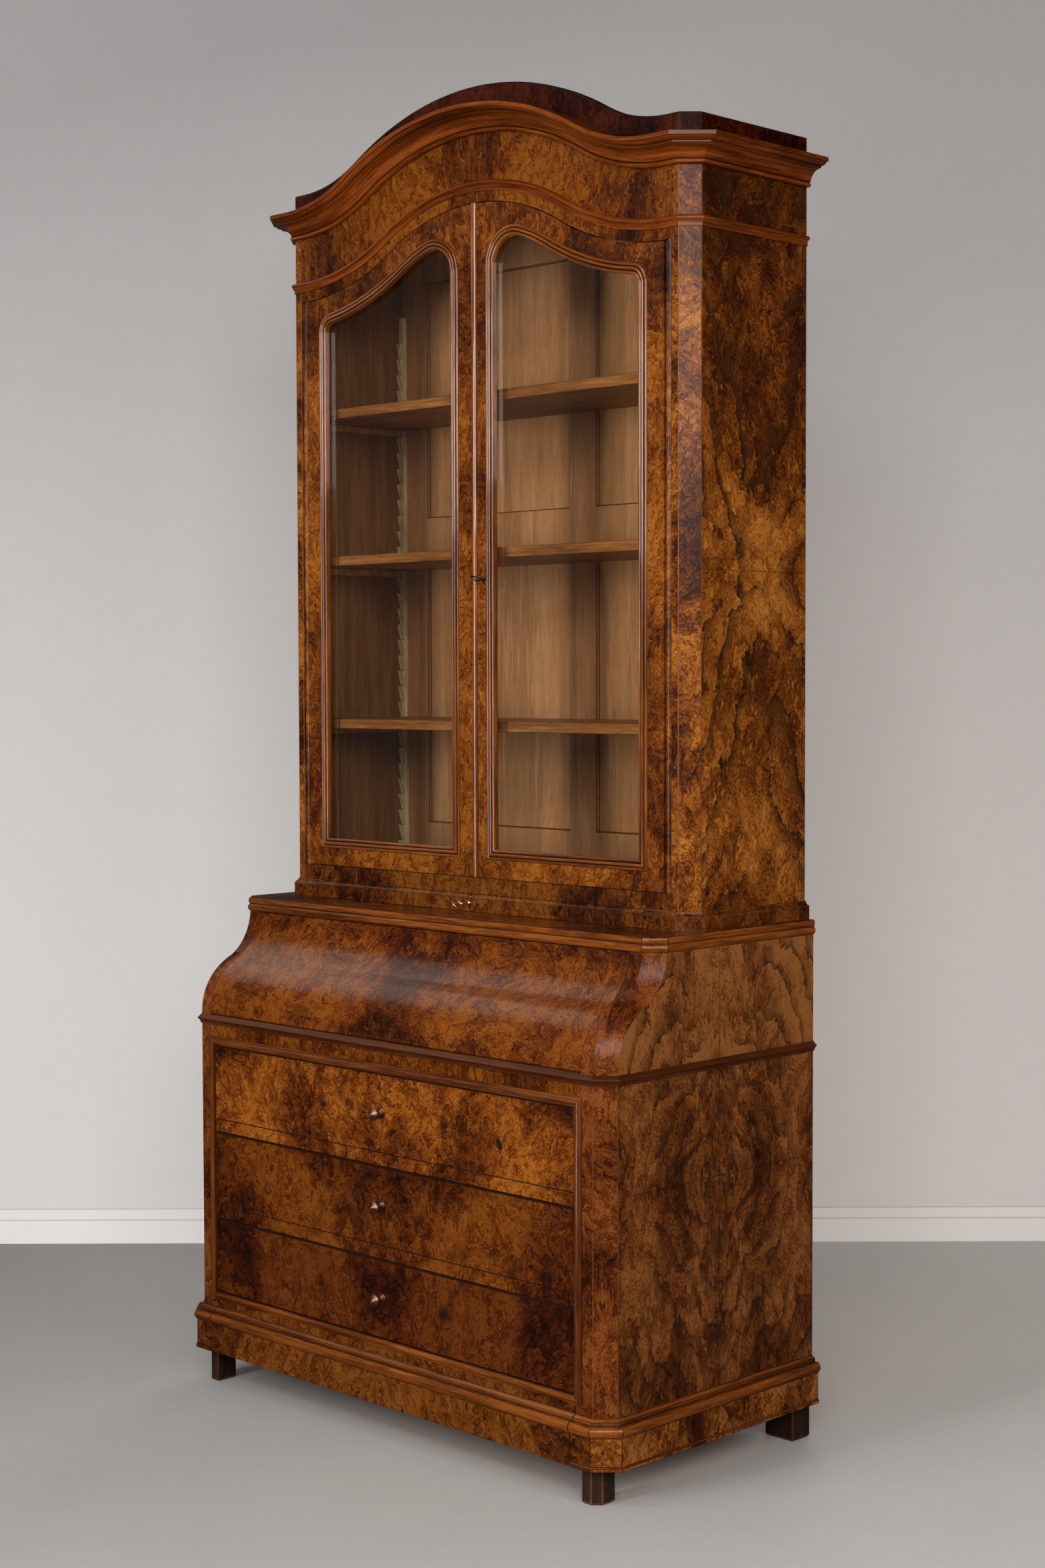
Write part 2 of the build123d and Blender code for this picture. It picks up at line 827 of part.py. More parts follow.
# Ledge: a board with two beads round its edge
ledge_front = front + ledge_setback
with BuildPart() as ledge_board:
    with BuildSketch(Plane.XY.offset(ledge)):
        with BuildLine():
            Polyline(*[(x, y) for x, y, z in round_points(half, ledge_front, corner, 0)], close=True)
        make_face()
    extrude(amount=ledge_height)
    with BuildLine() as route:
        Polyline(*round_points(half, ledge_front, corner, 0))
    with BuildSketch(Plane((-half, back, 0), x_dir=(-1, 0, 0), z_dir=(0, 1, 0))) as profile:
        with BuildLine():
            quirk = ledge + ledge_bead_height
            ThreePointArc(
                (0, ledge),
                (ledge_bead, ledge + ledge_bead_height / 2),
                (ledge_bead / 4, quirk),
            )
            ThreePointArc(
                (ledge_bead / 4, quirk),
                (ledge_bead * 0.7, (quirk + ledge_top) / 2),
                (ledge_bead / 4, ledge_top),
            )
            Polyline((ledge_bead / 4, ledge_top), (0, ledge_top), (0, ledge))
        make_face()
    sweep(profile.sketch, route.wire(), transition=Transition.RIGHT)
save(ledge_board, "ledge")


# Plinth of the bookcase, with the key drawer's front between its two pieces
def book_plinth_edge():
    """Outer line of the bookcase's plinth, as overhang and height: flat, then a cove."""
    cove = book_plinth_top - book_plinth_cove
    turn = book_plinth_cove * sqrt(0.5)
    Line((book_plinth_nose, ledge_top), (book_plinth_nose, cove))
    ThreePointArc(
        (book_plinth_nose, cove),
        (book_plinth_nose - turn, book_plinth_top - turn),
        (book_plinth_nose - book_plinth_cove, book_plinth_top),
    )


with BuildPart() as book_plinth:
    with BuildLine() as route:
        Polyline(*corner_points(key_drawer_half, book_half, book_front, book_corner, 0))
    with BuildSketch(section(key_drawer_half, book_front)) as profile:
        with BuildLine():
            book_plinth_edge()
            Polyline(
                (book_plinth_nose - book_plinth_cove, book_plinth_top),
                (0, book_plinth_top),
                (0, ledge_top),
                (book_plinth_nose, ledge_top),
            )
        make_face()
    sweep(profile.sketch, route.wire(), transition=Transition.RIGHT)
save_both(book_plinth, "upper_plinth")


# Locks and keys
def keyhole(x, face, z):
    """Cut a keyhole and the space behind it that the key turns in."""
    with BuildSketch(Plane.XZ.offset(-face)) as slot:
        with Locations((x, z)):
            Circle(key_shank + key_clearance)
        with Locations((x, z - keyhole_drop / 2)):
            Rectangle(keyhole_slot, keyhole_drop)
    extrude(slot.sketch, amount=-lock_skin, mode=Mode.SUBTRACT)
    with BuildSketch(Plane.XZ.offset(-face - lock_skin)) as room:
        with Locations((x, z)):
            Circle(lock_room)
    extrude(room.sketch, amount=-lock_depth, mode=Mode.SUBTRACT)


def key(x, face, z, reach, turn):
    """A key in its lock, its bow this far out and turned this far from level."""
    with BuildPart() as level_key:
        bow_edge = face - reach + key_bow_hole + 1
        with BuildSketch(Plane.XZ.offset(-bow_edge)):
            with Locations((x, z)):
                Circle(key_shank)
        extrude(amount=bow_edge - face - lock_skin - key_end)
        with BuildSketch(Plane.XZ.offset(key_collar - face)):
            with Locations((x, z)):
                Circle(key_collar)
        extrude(amount=key_collar / 2)
        with BuildSketch(Plane.XY.offset(z - key_bow_thickness / 2)):
            with Locations((x, face - reach)):
                Circle(key_bow)
                Circle(key_bow_hole, mode=Mode.SUBTRACT)
        extrude(amount=key_bow_thickness)
        block(
            (x, x + key_bit),
            (face + lock_skin + 1, face + lock_skin + key_end),
            (z - key_bit_width / 2, z + key_bit_width / 2),
        )
    with BuildPart() as piece:
        add(level_key.part.rotate(Axis((x, face, z), (0, 1, 0)), turn))
    return piece


key_face = book_front - book_plinth_nose
key_z = (ledge_top + book_plinth_top) / 2
with BuildPart() as key_drawer:
    with BuildSketch(section(key_drawer_half - gap, book_front)):
        with BuildLine():
            book_plinth_edge()
            Polyline(
                (book_plinth_nose - book_plinth_cove, book_plinth_top),
                (-key_drawer_front, book_plinth_top),
                (-key_drawer_front, ledge_top),
                (book_plinth_nose, ledge_top),
            )
        make_face()
    extrude(amount=2 * (key_drawer_half - gap))
    limits = (-key_drawer_half, key_drawer_half)
    depth = (book_front - 2 * book_plinth_nose, book_front + 2 * key_drawer_front)
    block(limits, depth, (ledge_top, ledge_top + gap / 2), Mode.SUBTRACT)
    block(limits, depth, (book_plinth_top - gap / 2, book_plinth_top), Mode.SUBTRACT)
    keyhole(0, key_face, key_z)
save(key_drawer, "key_drawer_front")
with BuildPart() as key_box:
    tray(
        key_drawer_half - drawer_side_room,
        (book_front + key_drawer_front, book_front + key_drawer_front + key_drawer_length),
        (ledge_top + play, book_plinth_top - 2 * gap),
        key_drawer_wall,
        key_drawer_floor,
    )
save(key_box, "key_drawer_box")
save(key(0, key_face, key_z, drawer_key_reach, drawer_key_turn), "drawer_key")

# Bookcase posts, sides, floor, top and back
post_x = arch_half + door_edge + gap
book_back_face = back - book_back
with BuildPart() as book_post:
    with BuildSketch(Plane.XY.offset(ledge_top)):
        with BuildLine():
            post_outline(post_x, book_half, book_front, book_corner)
        make_face()
    extrude(amount=crest_seat - ledge_top)
save_both(book_post, "bookcase_posts")
with BuildPart() as book_side:
    block((book_inner, book_half), (book_front + book_corner, back), (ledge_top, crest_seat))
save_sides(book_side, "bookcase_side")


def hinge_bore(z, depth):
    """Bores on both door axes from this level, upwards or downwards."""
    with Locations(*[(x, book_front + door_edge, z + depth / 2) for x in (-arch_half, arch_half)]):
        Cylinder(hinge_pin + pin_clearance, abs(depth), mode=Mode.SUBTRACT)


def book_board(y, z):
    block((-post_x, post_x), (y, book_front + post_depth), z)
    block((-book_inner, book_inner), (book_front + post_depth, book_back_face), z)


with BuildPart() as book_floor_board:
    block((-post_x, post_x), (book_front, book_front + door_thickness), (book_plinth_top, floor_top))
    book_board(book_front + door_thickness, (floor_top - book_floor, floor_top))
    for x in ((key_drawer_half, post_x), (-post_x, -key_drawer_half)):
        block(x, (book_front, book_front + door_thickness), (ledge_top, book_plinth_top))
    hinge_bore(floor_top, -hinge_pin_depth)
save(book_floor_board, "bookcase_floor")
with BuildPart() as book_top_board:
    book_board(book_front + frieze_board, (crest_seat - book_top, crest_seat))
save(book_top_board, "bookcase_top")
with BuildPart() as book_back_frame:
    block((-book_inner, book_inner), (book_back_face, back), (ledge_top, crest_seat))
    rail_low = floor_top + back_member
    rail_middle = floor_top + back_middle_rail
    rail_high = crest_seat - book_top - back_member
    panel = (book_back_face, back - book_back_panel)
    for x in ((back_member / 2, book_inner - back_member), (back_member - book_inner, -back_member / 2)):
        block(x, panel, (rail_low, rail_middle), Mode.SUBTRACT)
        block(x, panel, (rail_middle + back_member, rail_high), Mode.SUBTRACT)
save(book_back_frame, "bookcase_back")

# Arched frieze, its mouldings, cornice and crest
door_top_line = shoulder + arch_gap
with BuildPart() as frieze:
    with BuildSketch(Plane.XZ.offset(-book_front)):
        with BuildLine():
            arch(door_top_line)
            arch(crest_seat)
            for x, end in ((arch_half, post_x), (-arch_half, -post_x)):
                Polyline((x, door_top_line), (end, door_top_line), (end, crest_seat), (x, crest_seat))
        make_face()
    extrude(amount=-frieze_board)
    hinge_bore(door_top_line, hinge_pin_depth)
save(frieze, "frieze")


def frieze_profile():
    fillet_reach = moulding_nose * 0.3
    Polyline((0, 0), (fillet_reach, 0), (fillet_reach, moulding_height * 0.25))
    ThreePointArc(
        (fillet_reach, moulding_height * 0.25),
        (moulding_nose * 0.5, moulding_height * 0.5),
        (moulding_nose, moulding_height * 0.6),
    )
    Line((moulding_nose, moulding_height * 0.6), (moulding_nose, moulding_height * 0.75))
    ThreePointArc(
        (moulding_nose, moulding_height * 0.75),
        (moulding_nose * 0.6, moulding_height * 0.93),
        (0, moulding_height),
    )
    Line((0, moulding_height), (0, 0))


def cornice_profile():
    reach = cornice_nose / 50
    rise = cornice_height / 48
    Line((0, 0), (6 * reach, 0))
    ThreePointArc((6 * reach, 0), (10 * reach, 4 * rise), (6 * reach, 8 * rise))
    Line((6 * reach, 8 * rise), (9 * reach, 10 * rise))
    ThreePointArc((9 * reach, 10 * rise), (16.5 * reach, 24 * rise), (33 * reach, 31 * rise))
    Line((33 * reach, 31 * rise), (33 * reach, 34 * rise))
    ThreePointArc((33 * reach, 34 * rise), (41 * reach, 35.5 * rise), (46 * reach, 40 * rise))
    Polyline(
        (46 * reach, 40 * rise),
        (cornice_nose, 40 * rise),
        (cornice_nose, cornice_height),
        (0, cornice_height),
        (0, 0),
    )


def crest_profile():
    Polyline(
        (-board, 0),
        (0, 0),
        (0, crest_height - 2),
        (-2, crest_height),
        (-board, crest_height),
        close=True,
    )


wrapped("frieze_moulding", shoulder + moulding_level, frieze_profile)
wrapped("cornice", shoulder + cornice_level, cornice_profile)
wrapped("crest", crest_seat, crest_profile)

# Doors: a frame with a rounded hanging edge, a reeded glazing bead and a pane each
door_bottom = floor_top + door_rise


def pane(inset=0.0, mode=Mode.ADD):
    """Add or cut the outline of the glass opening, this far inside its edge."""
    left = inner_stile
    right = arch_half - outer_stile
    low = door_bottom + door_rail
    level = shoulder - door_rail
    with BuildSketch(mode=Mode.PRIVATE) as opening:
        with BuildLine():
            half_arch(level, right, left)
            Polyline(
                (left, arch_height(level, left)),
                (left, low),
                (right, low),
                (right, arch_height(level, right)),
            )
        make_face()
        inner_corner = (left, arch_height(level, left))
        fillet(opening.vertices().sort_by_distance(inner_corner)[0], pane_inner_round)
        outer_corner = (right, arch_height(level, right))
        fillet(opening.vertices().sort_by_distance(outer_corner)[0], pane_outer_round)
        if inset:
            offset(amount=-inset, kind=Kind.INTERSECTION, mode=Mode.REPLACE)
    add(opening.sketch_local, mode=mode)


def door(with_lock):
    with BuildPart() as frame:
        with BuildSketch(Plane.XZ.offset(-book_front)):
            with BuildLine():
                half_arch(shoulder, arch_half, gap / 2)
                Polyline(
                    (gap / 2, arch_height(shoulder, gap / 2)),
                    (gap / 2, door_bottom),
                    (arch_half, door_bottom),
                    (arch_half, shoulder),
                )
            make_face()
        extrude(amount=-door_thickness)
        with BuildSketch(Plane.XZ.offset(-book_front)):
            pane()
        extrude(amount=-door_thickness, mode=Mode.SUBTRACT)
        edge_x = arch_half - door_edge - gap
        block(
            (edge_x, arch_half),
            (book_front, book_front + door_edge),
            (door_bottom, shoulder),
            Mode.SUBTRACT,
        )
        with BuildSketch(Plane.XY.offset(door_bottom)):
            with Locations((arch_half, book_front + door_edge)):
                Circle(door_edge)
        extrude(amount=shoulder - door_bottom)
        hinge_bore(door_bottom, hinge_pin_depth + gap)
        hinge_bore(shoulder + arch_gap, -arch_gap - hinge_pin_depth - gap)
        if with_lock:
            keyhole(door_key_inset, book_front, floor_top + door_key_height)
    return frame


save(door(True), "door_right")
with BuildPart() as left_door:
    mirror(door(False).part, about=Plane.YZ)
save(left_door, "door_left")

# The bead is three reeds, the middle one highest, with a quirk between each two
reed = (glazing_width - 2 * glazing_quirk) / 3
glass_front = Plane.XZ.offset(-book_front - glazing_depth)
with BuildPart() as glazing:
    with BuildSketch(glass_front):
        pane()
        pane(glazing_width, Mode.SUBTRACT)
    extrude(amount=glazing_depth)
    for number, proud in enumerate((glazing_step, glazing_proud, glazing_step)):
        inset = number * (reed + glazing_quirk)
        with BuildSketch(Plane.XZ.offset(-book_front)):
            pane(inset)
            pane(inset + reed, Mode.SUBTRACT)
        extrude(amount=proud)
save_sides(glazing, "glazing")
with BuildPart() as glass_pane:
    with BuildSketch(glass_front):
        pane(play)
    extrude(amount=-glass)
save_sides(glass_pane, "glass")

with BuildPart() as astragal:
    with BuildSketch(Plane.XY.offset(door_bottom)):
        with BuildLine():
            near = gap / 2
            far = near + astragal_width
            ThreePointArc(
                (near, book_front),
                (near + astragal_width / 2, book_front - astragal_proud),
                (far, book_front),
            )
            Line((far, book_front), (near, book_front))
        make_face()
    extrude(amount=arch_height(shoulder, near + astragal_width) - door_bottom)
save(astragal, "astragal")
door_key_z = floor_top + door_key_height
save(key(door_key_inset, book_front, door_key_z, door_key_reach, door_key_turn), "door_key")

# Pins that the doors turn on, in the rail below and the frieze above
with BuildPart() as door_pins:
    for low, high in (
        (floor_top - hinge_pin_depth, door_bottom + hinge_pin_depth),
        (shoulder - hinge_pin_depth, door_top_line + hinge_pin_depth),
    ):
        for x in (-arch_half, arch_half):
            with Locations((x, book_front + door_edge, (low + high) / 2)):
                Cylinder(hinge_pin, high - low)
save(door_pins, "door_pins")

# Shelves lie on cleats, whose ends rest on the teeth of upright strips
strip_front = book_front + post_depth
strip_back = book_back_face
teeth = int((strip_top - tooth_pitch) / tooth_pitch)
with BuildPart() as shelf_strip:
    for start, way in ((strip_front, 1), (strip_back, -1)):
        with BuildSketch(Plane.YZ.offset(book_inner - strip_thickness)):
            with BuildLine():
                outline = [(start, floor_top), (start + way * strip_width, floor_top)]
                for number in range(1, teeth + 1):
                    z = floor_top + number * tooth_pitch
                    outline.append((start + way * strip_width, z))
                    outline.append((start + way * (strip_width - tooth_depth), z))
                outline.append((start + way * (strip_width - tooth_depth), floor_top + strip_top))
                outline.append((start, floor_top + strip_top))
                Polyline(*outline, close=True)
            make_face()
        extrude(amount=strip_thickness)
save_both(shelf_strip, "shelf_strips")

cleat_ends = (strip_front + strip_width - cleat_seat, strip_back - strip_width + cleat_seat)
with BuildPart() as cleat:
    for tooth in shelf_teeth:
        z = floor_top + tooth * tooth_pitch
        block((book_inner - strip_thickness, book_inner), cleat_ends, (z, z + cleat_height))
save_both(cleat, "shelf_cleats")

with BuildPart() as shelves:
    for tooth in shelf_teeth:
        z = floor_top + tooth * tooth_pitch + cleat_height
        level = (z, z + shelf_board)
        clear = book_inner - strip_thickness - gap
        block((gap - post_x, post_x - gap), (book_front + shelf_setback, strip_front + gap), level)
        block((-clear, clear), (strip_front + gap, strip_back - gap), level)
        block(
            (gap - book_inner, book_inner - gap),
            (strip_front + strip_width + gap, strip_back - strip_width - gap),
            level,
        )
save(shelves, "shelves")
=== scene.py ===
# %% [markdown]
# # A walnut secretary desk
# A tall bureau bookcase: two arched glass doors above a desk with an ogee fall, over drawers.
# The solids come packed from the part's source, in metres, with +Z up and the front towards -Y.
# Each is kept where it is; this file gives it the finish, the eased arrises and the fine mouldings.

import json
from cmath import phase, rect
from math import asin, atan, cos, pi, radians, sin, sqrt

import bmesh
import bpy
from mathutils import Matrix, Vector


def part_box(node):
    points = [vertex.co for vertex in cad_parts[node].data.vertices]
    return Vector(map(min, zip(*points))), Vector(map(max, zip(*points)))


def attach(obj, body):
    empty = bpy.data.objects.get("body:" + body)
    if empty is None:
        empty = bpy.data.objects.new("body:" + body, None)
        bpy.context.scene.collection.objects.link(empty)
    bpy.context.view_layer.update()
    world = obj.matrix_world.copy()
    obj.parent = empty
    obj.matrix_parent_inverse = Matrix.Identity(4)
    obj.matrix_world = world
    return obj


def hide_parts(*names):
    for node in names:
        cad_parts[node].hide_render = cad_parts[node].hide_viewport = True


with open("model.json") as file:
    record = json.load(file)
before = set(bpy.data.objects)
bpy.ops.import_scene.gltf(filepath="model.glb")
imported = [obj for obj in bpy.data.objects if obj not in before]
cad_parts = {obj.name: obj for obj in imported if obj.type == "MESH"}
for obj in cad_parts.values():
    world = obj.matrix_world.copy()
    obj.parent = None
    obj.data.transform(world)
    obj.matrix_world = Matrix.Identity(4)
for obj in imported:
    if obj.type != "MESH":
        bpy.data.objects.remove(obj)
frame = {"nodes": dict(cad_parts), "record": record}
scene = bpy.context.scene
nodes = frame["nodes"]
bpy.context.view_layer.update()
bodies = frame["record"]["behaviour"]["bodies"]
home = {node: body for body, names in bodies.items() for node in names}

# %% [markdown]
# ## Writing finishes as sums
# Every finish here is worked out from the place of a point in the wood, so it is written as arithmetic.
# Node trees could be wired by hand, but sums are shorter to read and easier to change.
# The same class builds the geometry tree for the mouldings further down.

# %% A value in a node tree
class Shade:
    """A value in a node tree: arithmetic on it adds nodes, and make() adds any other node."""

    def __init__(self, tree, socket=None):
        self.tree = tree
        self.socket = socket

    def make(self, kind, out=0, stops=(), inputs=None, **settings):
        """Any node: settings first, then ramp stops, then its inputs as values or links."""
        node = self.tree.nodes.new(kind)
        for name, value in settings.items():
            setattr(node, name, value)
        for number, (position, colour) in enumerate(stops):
            ramp = node.color_ramp.elements
            stop = ramp[number] if number < 2 else ramp.new(position)
            stop.position = position
            stop.color = (*colour, 1.0)
        for key, value in (inputs or {}).items():
            if isinstance(value, Shade):
                self.tree.links.new(value.socket, node.inputs[key])
            else:
                node.inputs[key].default_value = value
        return Shade(self.tree, node.outputs[out])

    def maths(self, operation, *others):
        """A maths node on this value and others, of vectors if any of them is one."""
        values = (self, *others)
        kinds = [value.socket.type if isinstance(value, Shade) else type(value) for value in values]
        kind = "ShaderNodeMath"
        if "VECTOR" in kinds or "RGBA" in kinds or tuple in kinds:
            kind = "ShaderNodeVectorMath"
            values = [(value,) * 3 if isinstance(value, (int, float)) else value for value in values]
        return self.make(kind, operation=operation, inputs=dict(enumerate(values)))

    def measure(self, operation, *others):
        """A single number from vectors, such as a length."""
        inputs = dict(enumerate((self, *others)))
        return self.make("ShaderNodeVectorMath", 1, operation=operation, inputs=inputs)

    def __add__(self, other):
        return self.maths("ADD", other)

    def __sub__(self, other):
        return self.maths("SUBTRACT", other)

    def __rsub__(self, other):
        return self.make("ShaderNodeMath", operation="SUBTRACT", inputs={0: other, 1: self})

    def __mul__(self, other):
        return self.maths("MULTIPLY", other)

    def __truediv__(self, other):
        return self.maths("DIVIDE", other)

    def __abs__(self):
        return self.maths("ABSOLUTE")


def noise(point, scale, detail=2.0, roughness=0.5, out=0):
    inputs = {"Vector": point, "Scale": scale, "Detail": detail, "Roughness": roughness}
    return point.make("ShaderNodeTexNoise", out, inputs=inputs)


def eased_step(value, low, high):
    """0 below low, 1 above high and an S between."""
    inputs = {0: value, 1: low, 2: high}
    return value.make("ShaderNodeMapRange", interpolation_type="SMOOTHSTEP", inputs=inputs)


def mixed(factor, first, second):
    return factor.make("ShaderNodeMix", 2, data_type="RGBA", inputs={0: factor, 6: first, 7: second})


def new_finish(name, **constants):
    """A material, its shader, and the place of a point in the piece."""
    material = bpy.data.materials.new(name)
    material.use_nodes = True
    shader = material.node_tree.nodes["Principled BSDF"]
    for socket, value in constants.items():
        shader.inputs[socket.replace("_", " ")].default_value = value
    point = Shade(material.node_tree).make("ShaderNodeTexCoord", "Object")
    return material, shader, point


def plug(shader, **shades):
    for socket, shade in shades.items():
        shade.tree.links.new(shade.socket, shader.inputs[socket.replace("_", " ")])


print("finishes are written as sums of", Shade.__name__, "values")

# %% [markdown]
# ## Burr walnut
# The show surfaces are burr veneer, cut from a knotty growth and polished with shellac.
# Thin leaves cut one after another are opened like a book, so the figure is mirrored about each joint.
# A picture of burr would repeat and blur; a folded place gives the same mirrored figure at any size.

# %% Leaves of veneer
INK = (0.014, 0.0045, 0.0014, 1.0)
LEAF_STEP = 0.004


def parted(point):
    """The x, y and z of a place, by name."""
    split = point.make("ShaderNodeSeparateXYZ", inputs={0: point}).socket.node
    return {axis: Shade(point.tree, split.outputs[n]) for n, axis in enumerate("xyz")}


def folded(point, seams, depth, shift):
    """The place in one leaf, mirrored about the seams and a little deeper on their far side."""
    parts = parted(point)
    for axis, seam in seams.items():
        side = parts[axis] - seam
        parts[depth] = parts[depth] + side.maths("SIGN") * LEAF_STEP
        parts[axis] = abs(side)
    joined = point.make("ShaderNodeCombineXYZ", inputs=dict(enumerate(parts.values())))
    return joined + shift, [parts[axis] for axis in seams]


def spread(value, amount=1.0):
    """Noise drawn away from its middle."""
    return (value - 0.5) * amount


def shades(middle, *ratios):
    """Colours from dark to light about a middle one; each ratio holds its three shares."""
    return [tuple(share * value for share, value in zip(ratio, middle)) for ratio in ratios]


print("ink of the veins:", INK[:3])

# %% [markdown]
# ## Clouds, swirls and eyes
# Slow noise makes the clouds and the contour lines of a bent field make the swirling lines of growth.
# Waves in one direction would look like straight timber, so the field is bent twice before its lines
# are drawn.
# The few large dark eyes are placed where the leaves of these drawers have them.

# %% The ground of the burr
def bends(leaf, stretch):
    """The place bent by slow noise, and a finer curl to add to it."""
    grain = leaf * stretch * 1.4
    bent = grain + spread(noise(grain, 2.3, out=1), 0.24)
    return bent, spread(noise(bent, 9.0, 3.0, out=1), 0.06)


def eye_shade(spot, eyes):
    """Darkness of the large eyes, each given by its place and size."""
    darks = []
    for x, y, z, size in eyes:
        away = spot.measure("DISTANCE", (x, y, z))
        darks.append(1.0 - eased_step(away, 0.2 * size, size))
    return sum(darks[1:], darks[0]) if darks else None


def rings(field, count, wander):
    """Rings of growth as contours of a field: each darkens slowly and ends in a sharp edge."""
    level = field * count + wander
    ring = level.maths("FRACT")
    return ring * ring


def ground(curled, middle, figure, contrast, eye, lift):
    """The colour of the burr, its fine crumb and its rings."""
    cloud = spread(noise(curled, 3.6, 4.0, 0.6), 2.4)
    crumb = noise(curled, 26.0, 6.0, 0.72)
    grit = noise(curled, 150.0, 3.0, 0.6)
    islands = rings(noise(curled, 6.0, 4.0, 0.6), 9.0 * figure, crumb * 0.45)
    field = noise(curled + (7.0, 1.0, 4.0), 15.0, 2.5, 0.55)
    if eye:
        field = field + eye * 0.1
    ripples = rings(field, 28.0 * figure, crumb * 0.6)
    tone = cloud.maths("MINIMUM", 0.2) + spread(crumb, 1.1) + spread(grit, 1.1)
    tone = tone - spread(islands, 0.36) - spread(ripples, 0.32) - eased_step(ripples, 0.66, 0.96) * 0.2
    tone = tone * contrast + 0.47
    if lift:
        tone = tone + lift
    ratios = ((0.13, 0.10, 0.10), (0.5, 0.42, 0.36), (1, 1, 1), (1.7, 2.05, 2.8), (2.8, 4.2, 8.0))
    stops = list(zip((0.0, 0.3, 0.5, 0.73, 1.0), shades(middle, *ratios)))
    colour = tone.make("ShaderNodeValToRGB", stops=stops, inputs={0: tone})
    if eye:
        colour = mixed(eye * (crumb * 2.6 - 0.4), colour, INK)
    return colour, crumb, ripples


print("burr ground: clouds, swirls and eyes")

# %% [markdown]
# ## Pin knots and ink veins
# Burr is full of pin knots, the starts of twigs that never grew; cells with a dark middle stand for them.
# The sides also carry ink-dark veins, each with a brown shadow on one side of it.
# They are contour lines of rough noise, tilted so that the mirrored leaves meet in peaks.

# %% Knots and veins
VEIN_SHADOW = (0.026, 0.008, 0.002, 1.0)


def knotted(colour, bent, curl, pins, size):
    """Dark knots in clusters."""
    spot = bent + curl * 0.6
    cell = spot.make("ShaderNodeTexVoronoi", 0, inputs={"Vector": spot, "Scale": 46.0 / size})
    cluster = eased_step(noise(bent + (4.0, 2.0, 1.0), 6.5), 0.5, 0.66)
    return mixed((1.0 - eased_step(cell, 0.07, 0.2)) * cluster * pins * 0.72, colour, INK)


def veined(colour, leaf, bent, curl, share, scale, strata, chevron=None, lines=4.6):
    """Ink lines with a brown shadow; strata tilts them and chevron peaks them about a place along y."""
    tilt = leaf.measure("DOT_PRODUCT", strata)
    if chevron:
        middle, slope = chevron
        tilt = tilt + abs(parted(leaf)["y"] - middle) * slope
    level = (noise(bent + curl * 0.9, scale, 6.0, 0.6) + tilt) * lines
    saw = level.maths("FRACT") - 0.5
    thick = noise(bent + curl, 17.0, 3.0, 0.6)
    line = 1.0 - eased_step(abs(saw) / (thick * thick * 4.0 * lines), 0.0016, 0.010)
    shadow = (1.0 - eased_step(saw, 0.0, 0.11 * lines)) * saw.maths("GREATER_THAN", 0.0)
    patch = eased_step(noise(bent + (1.0, 5.0, 3.0), 3.4, 3.0), 0.34, 0.52)
    colour = mixed(shadow * patch * thick * 1.5 * share, colour, VEIN_SHADOW)
    return mixed(line * (patch * 0.85 + 0.12) * share, colour, INK)


print("shadow of the veins:", VEIN_SHADOW[:3])

# %% [markdown]
# ## The veneers of this desk
# Every panel has leaves of its own, so each gets its own seams, shift and tones.
# Shellac lies over them as a clear coat that is a little uneven; old wax and painted shade darken the corners.
# A node tree for each panel would repeat; one function with a share for each kind of figure serves them all.

# %% Burr veneers
SEAM = (0.0002, 0.0011)
TOP_SHADOW_BAND = (0.0055, 0.0025)
GRIME_AND_SHADE_REACH = 0.007
BUMP_DEPTH = 0.0004


def grimed_and_shaded(colour, point, amount):
    """Old wax and dirt with painted shade: darker in every corner and recess that a cloth doesn't reach."""
    shut = point.make("ShaderNodeAmbientOcclusion", 1, samples=6, inputs={"Distance": GRIME_AND_SHADE_REACH})
    return mixed((1.0 - eased_step(shut, 0.4, 0.97)) * amount, colour, INK)


def bump(shader, height, strength):
    inputs = {"Strength": strength, "Distance": BUMP_DEPTH, "Height": height}
    plug(shader, Normal=height.make("ShaderNodeBump", inputs=inputs))


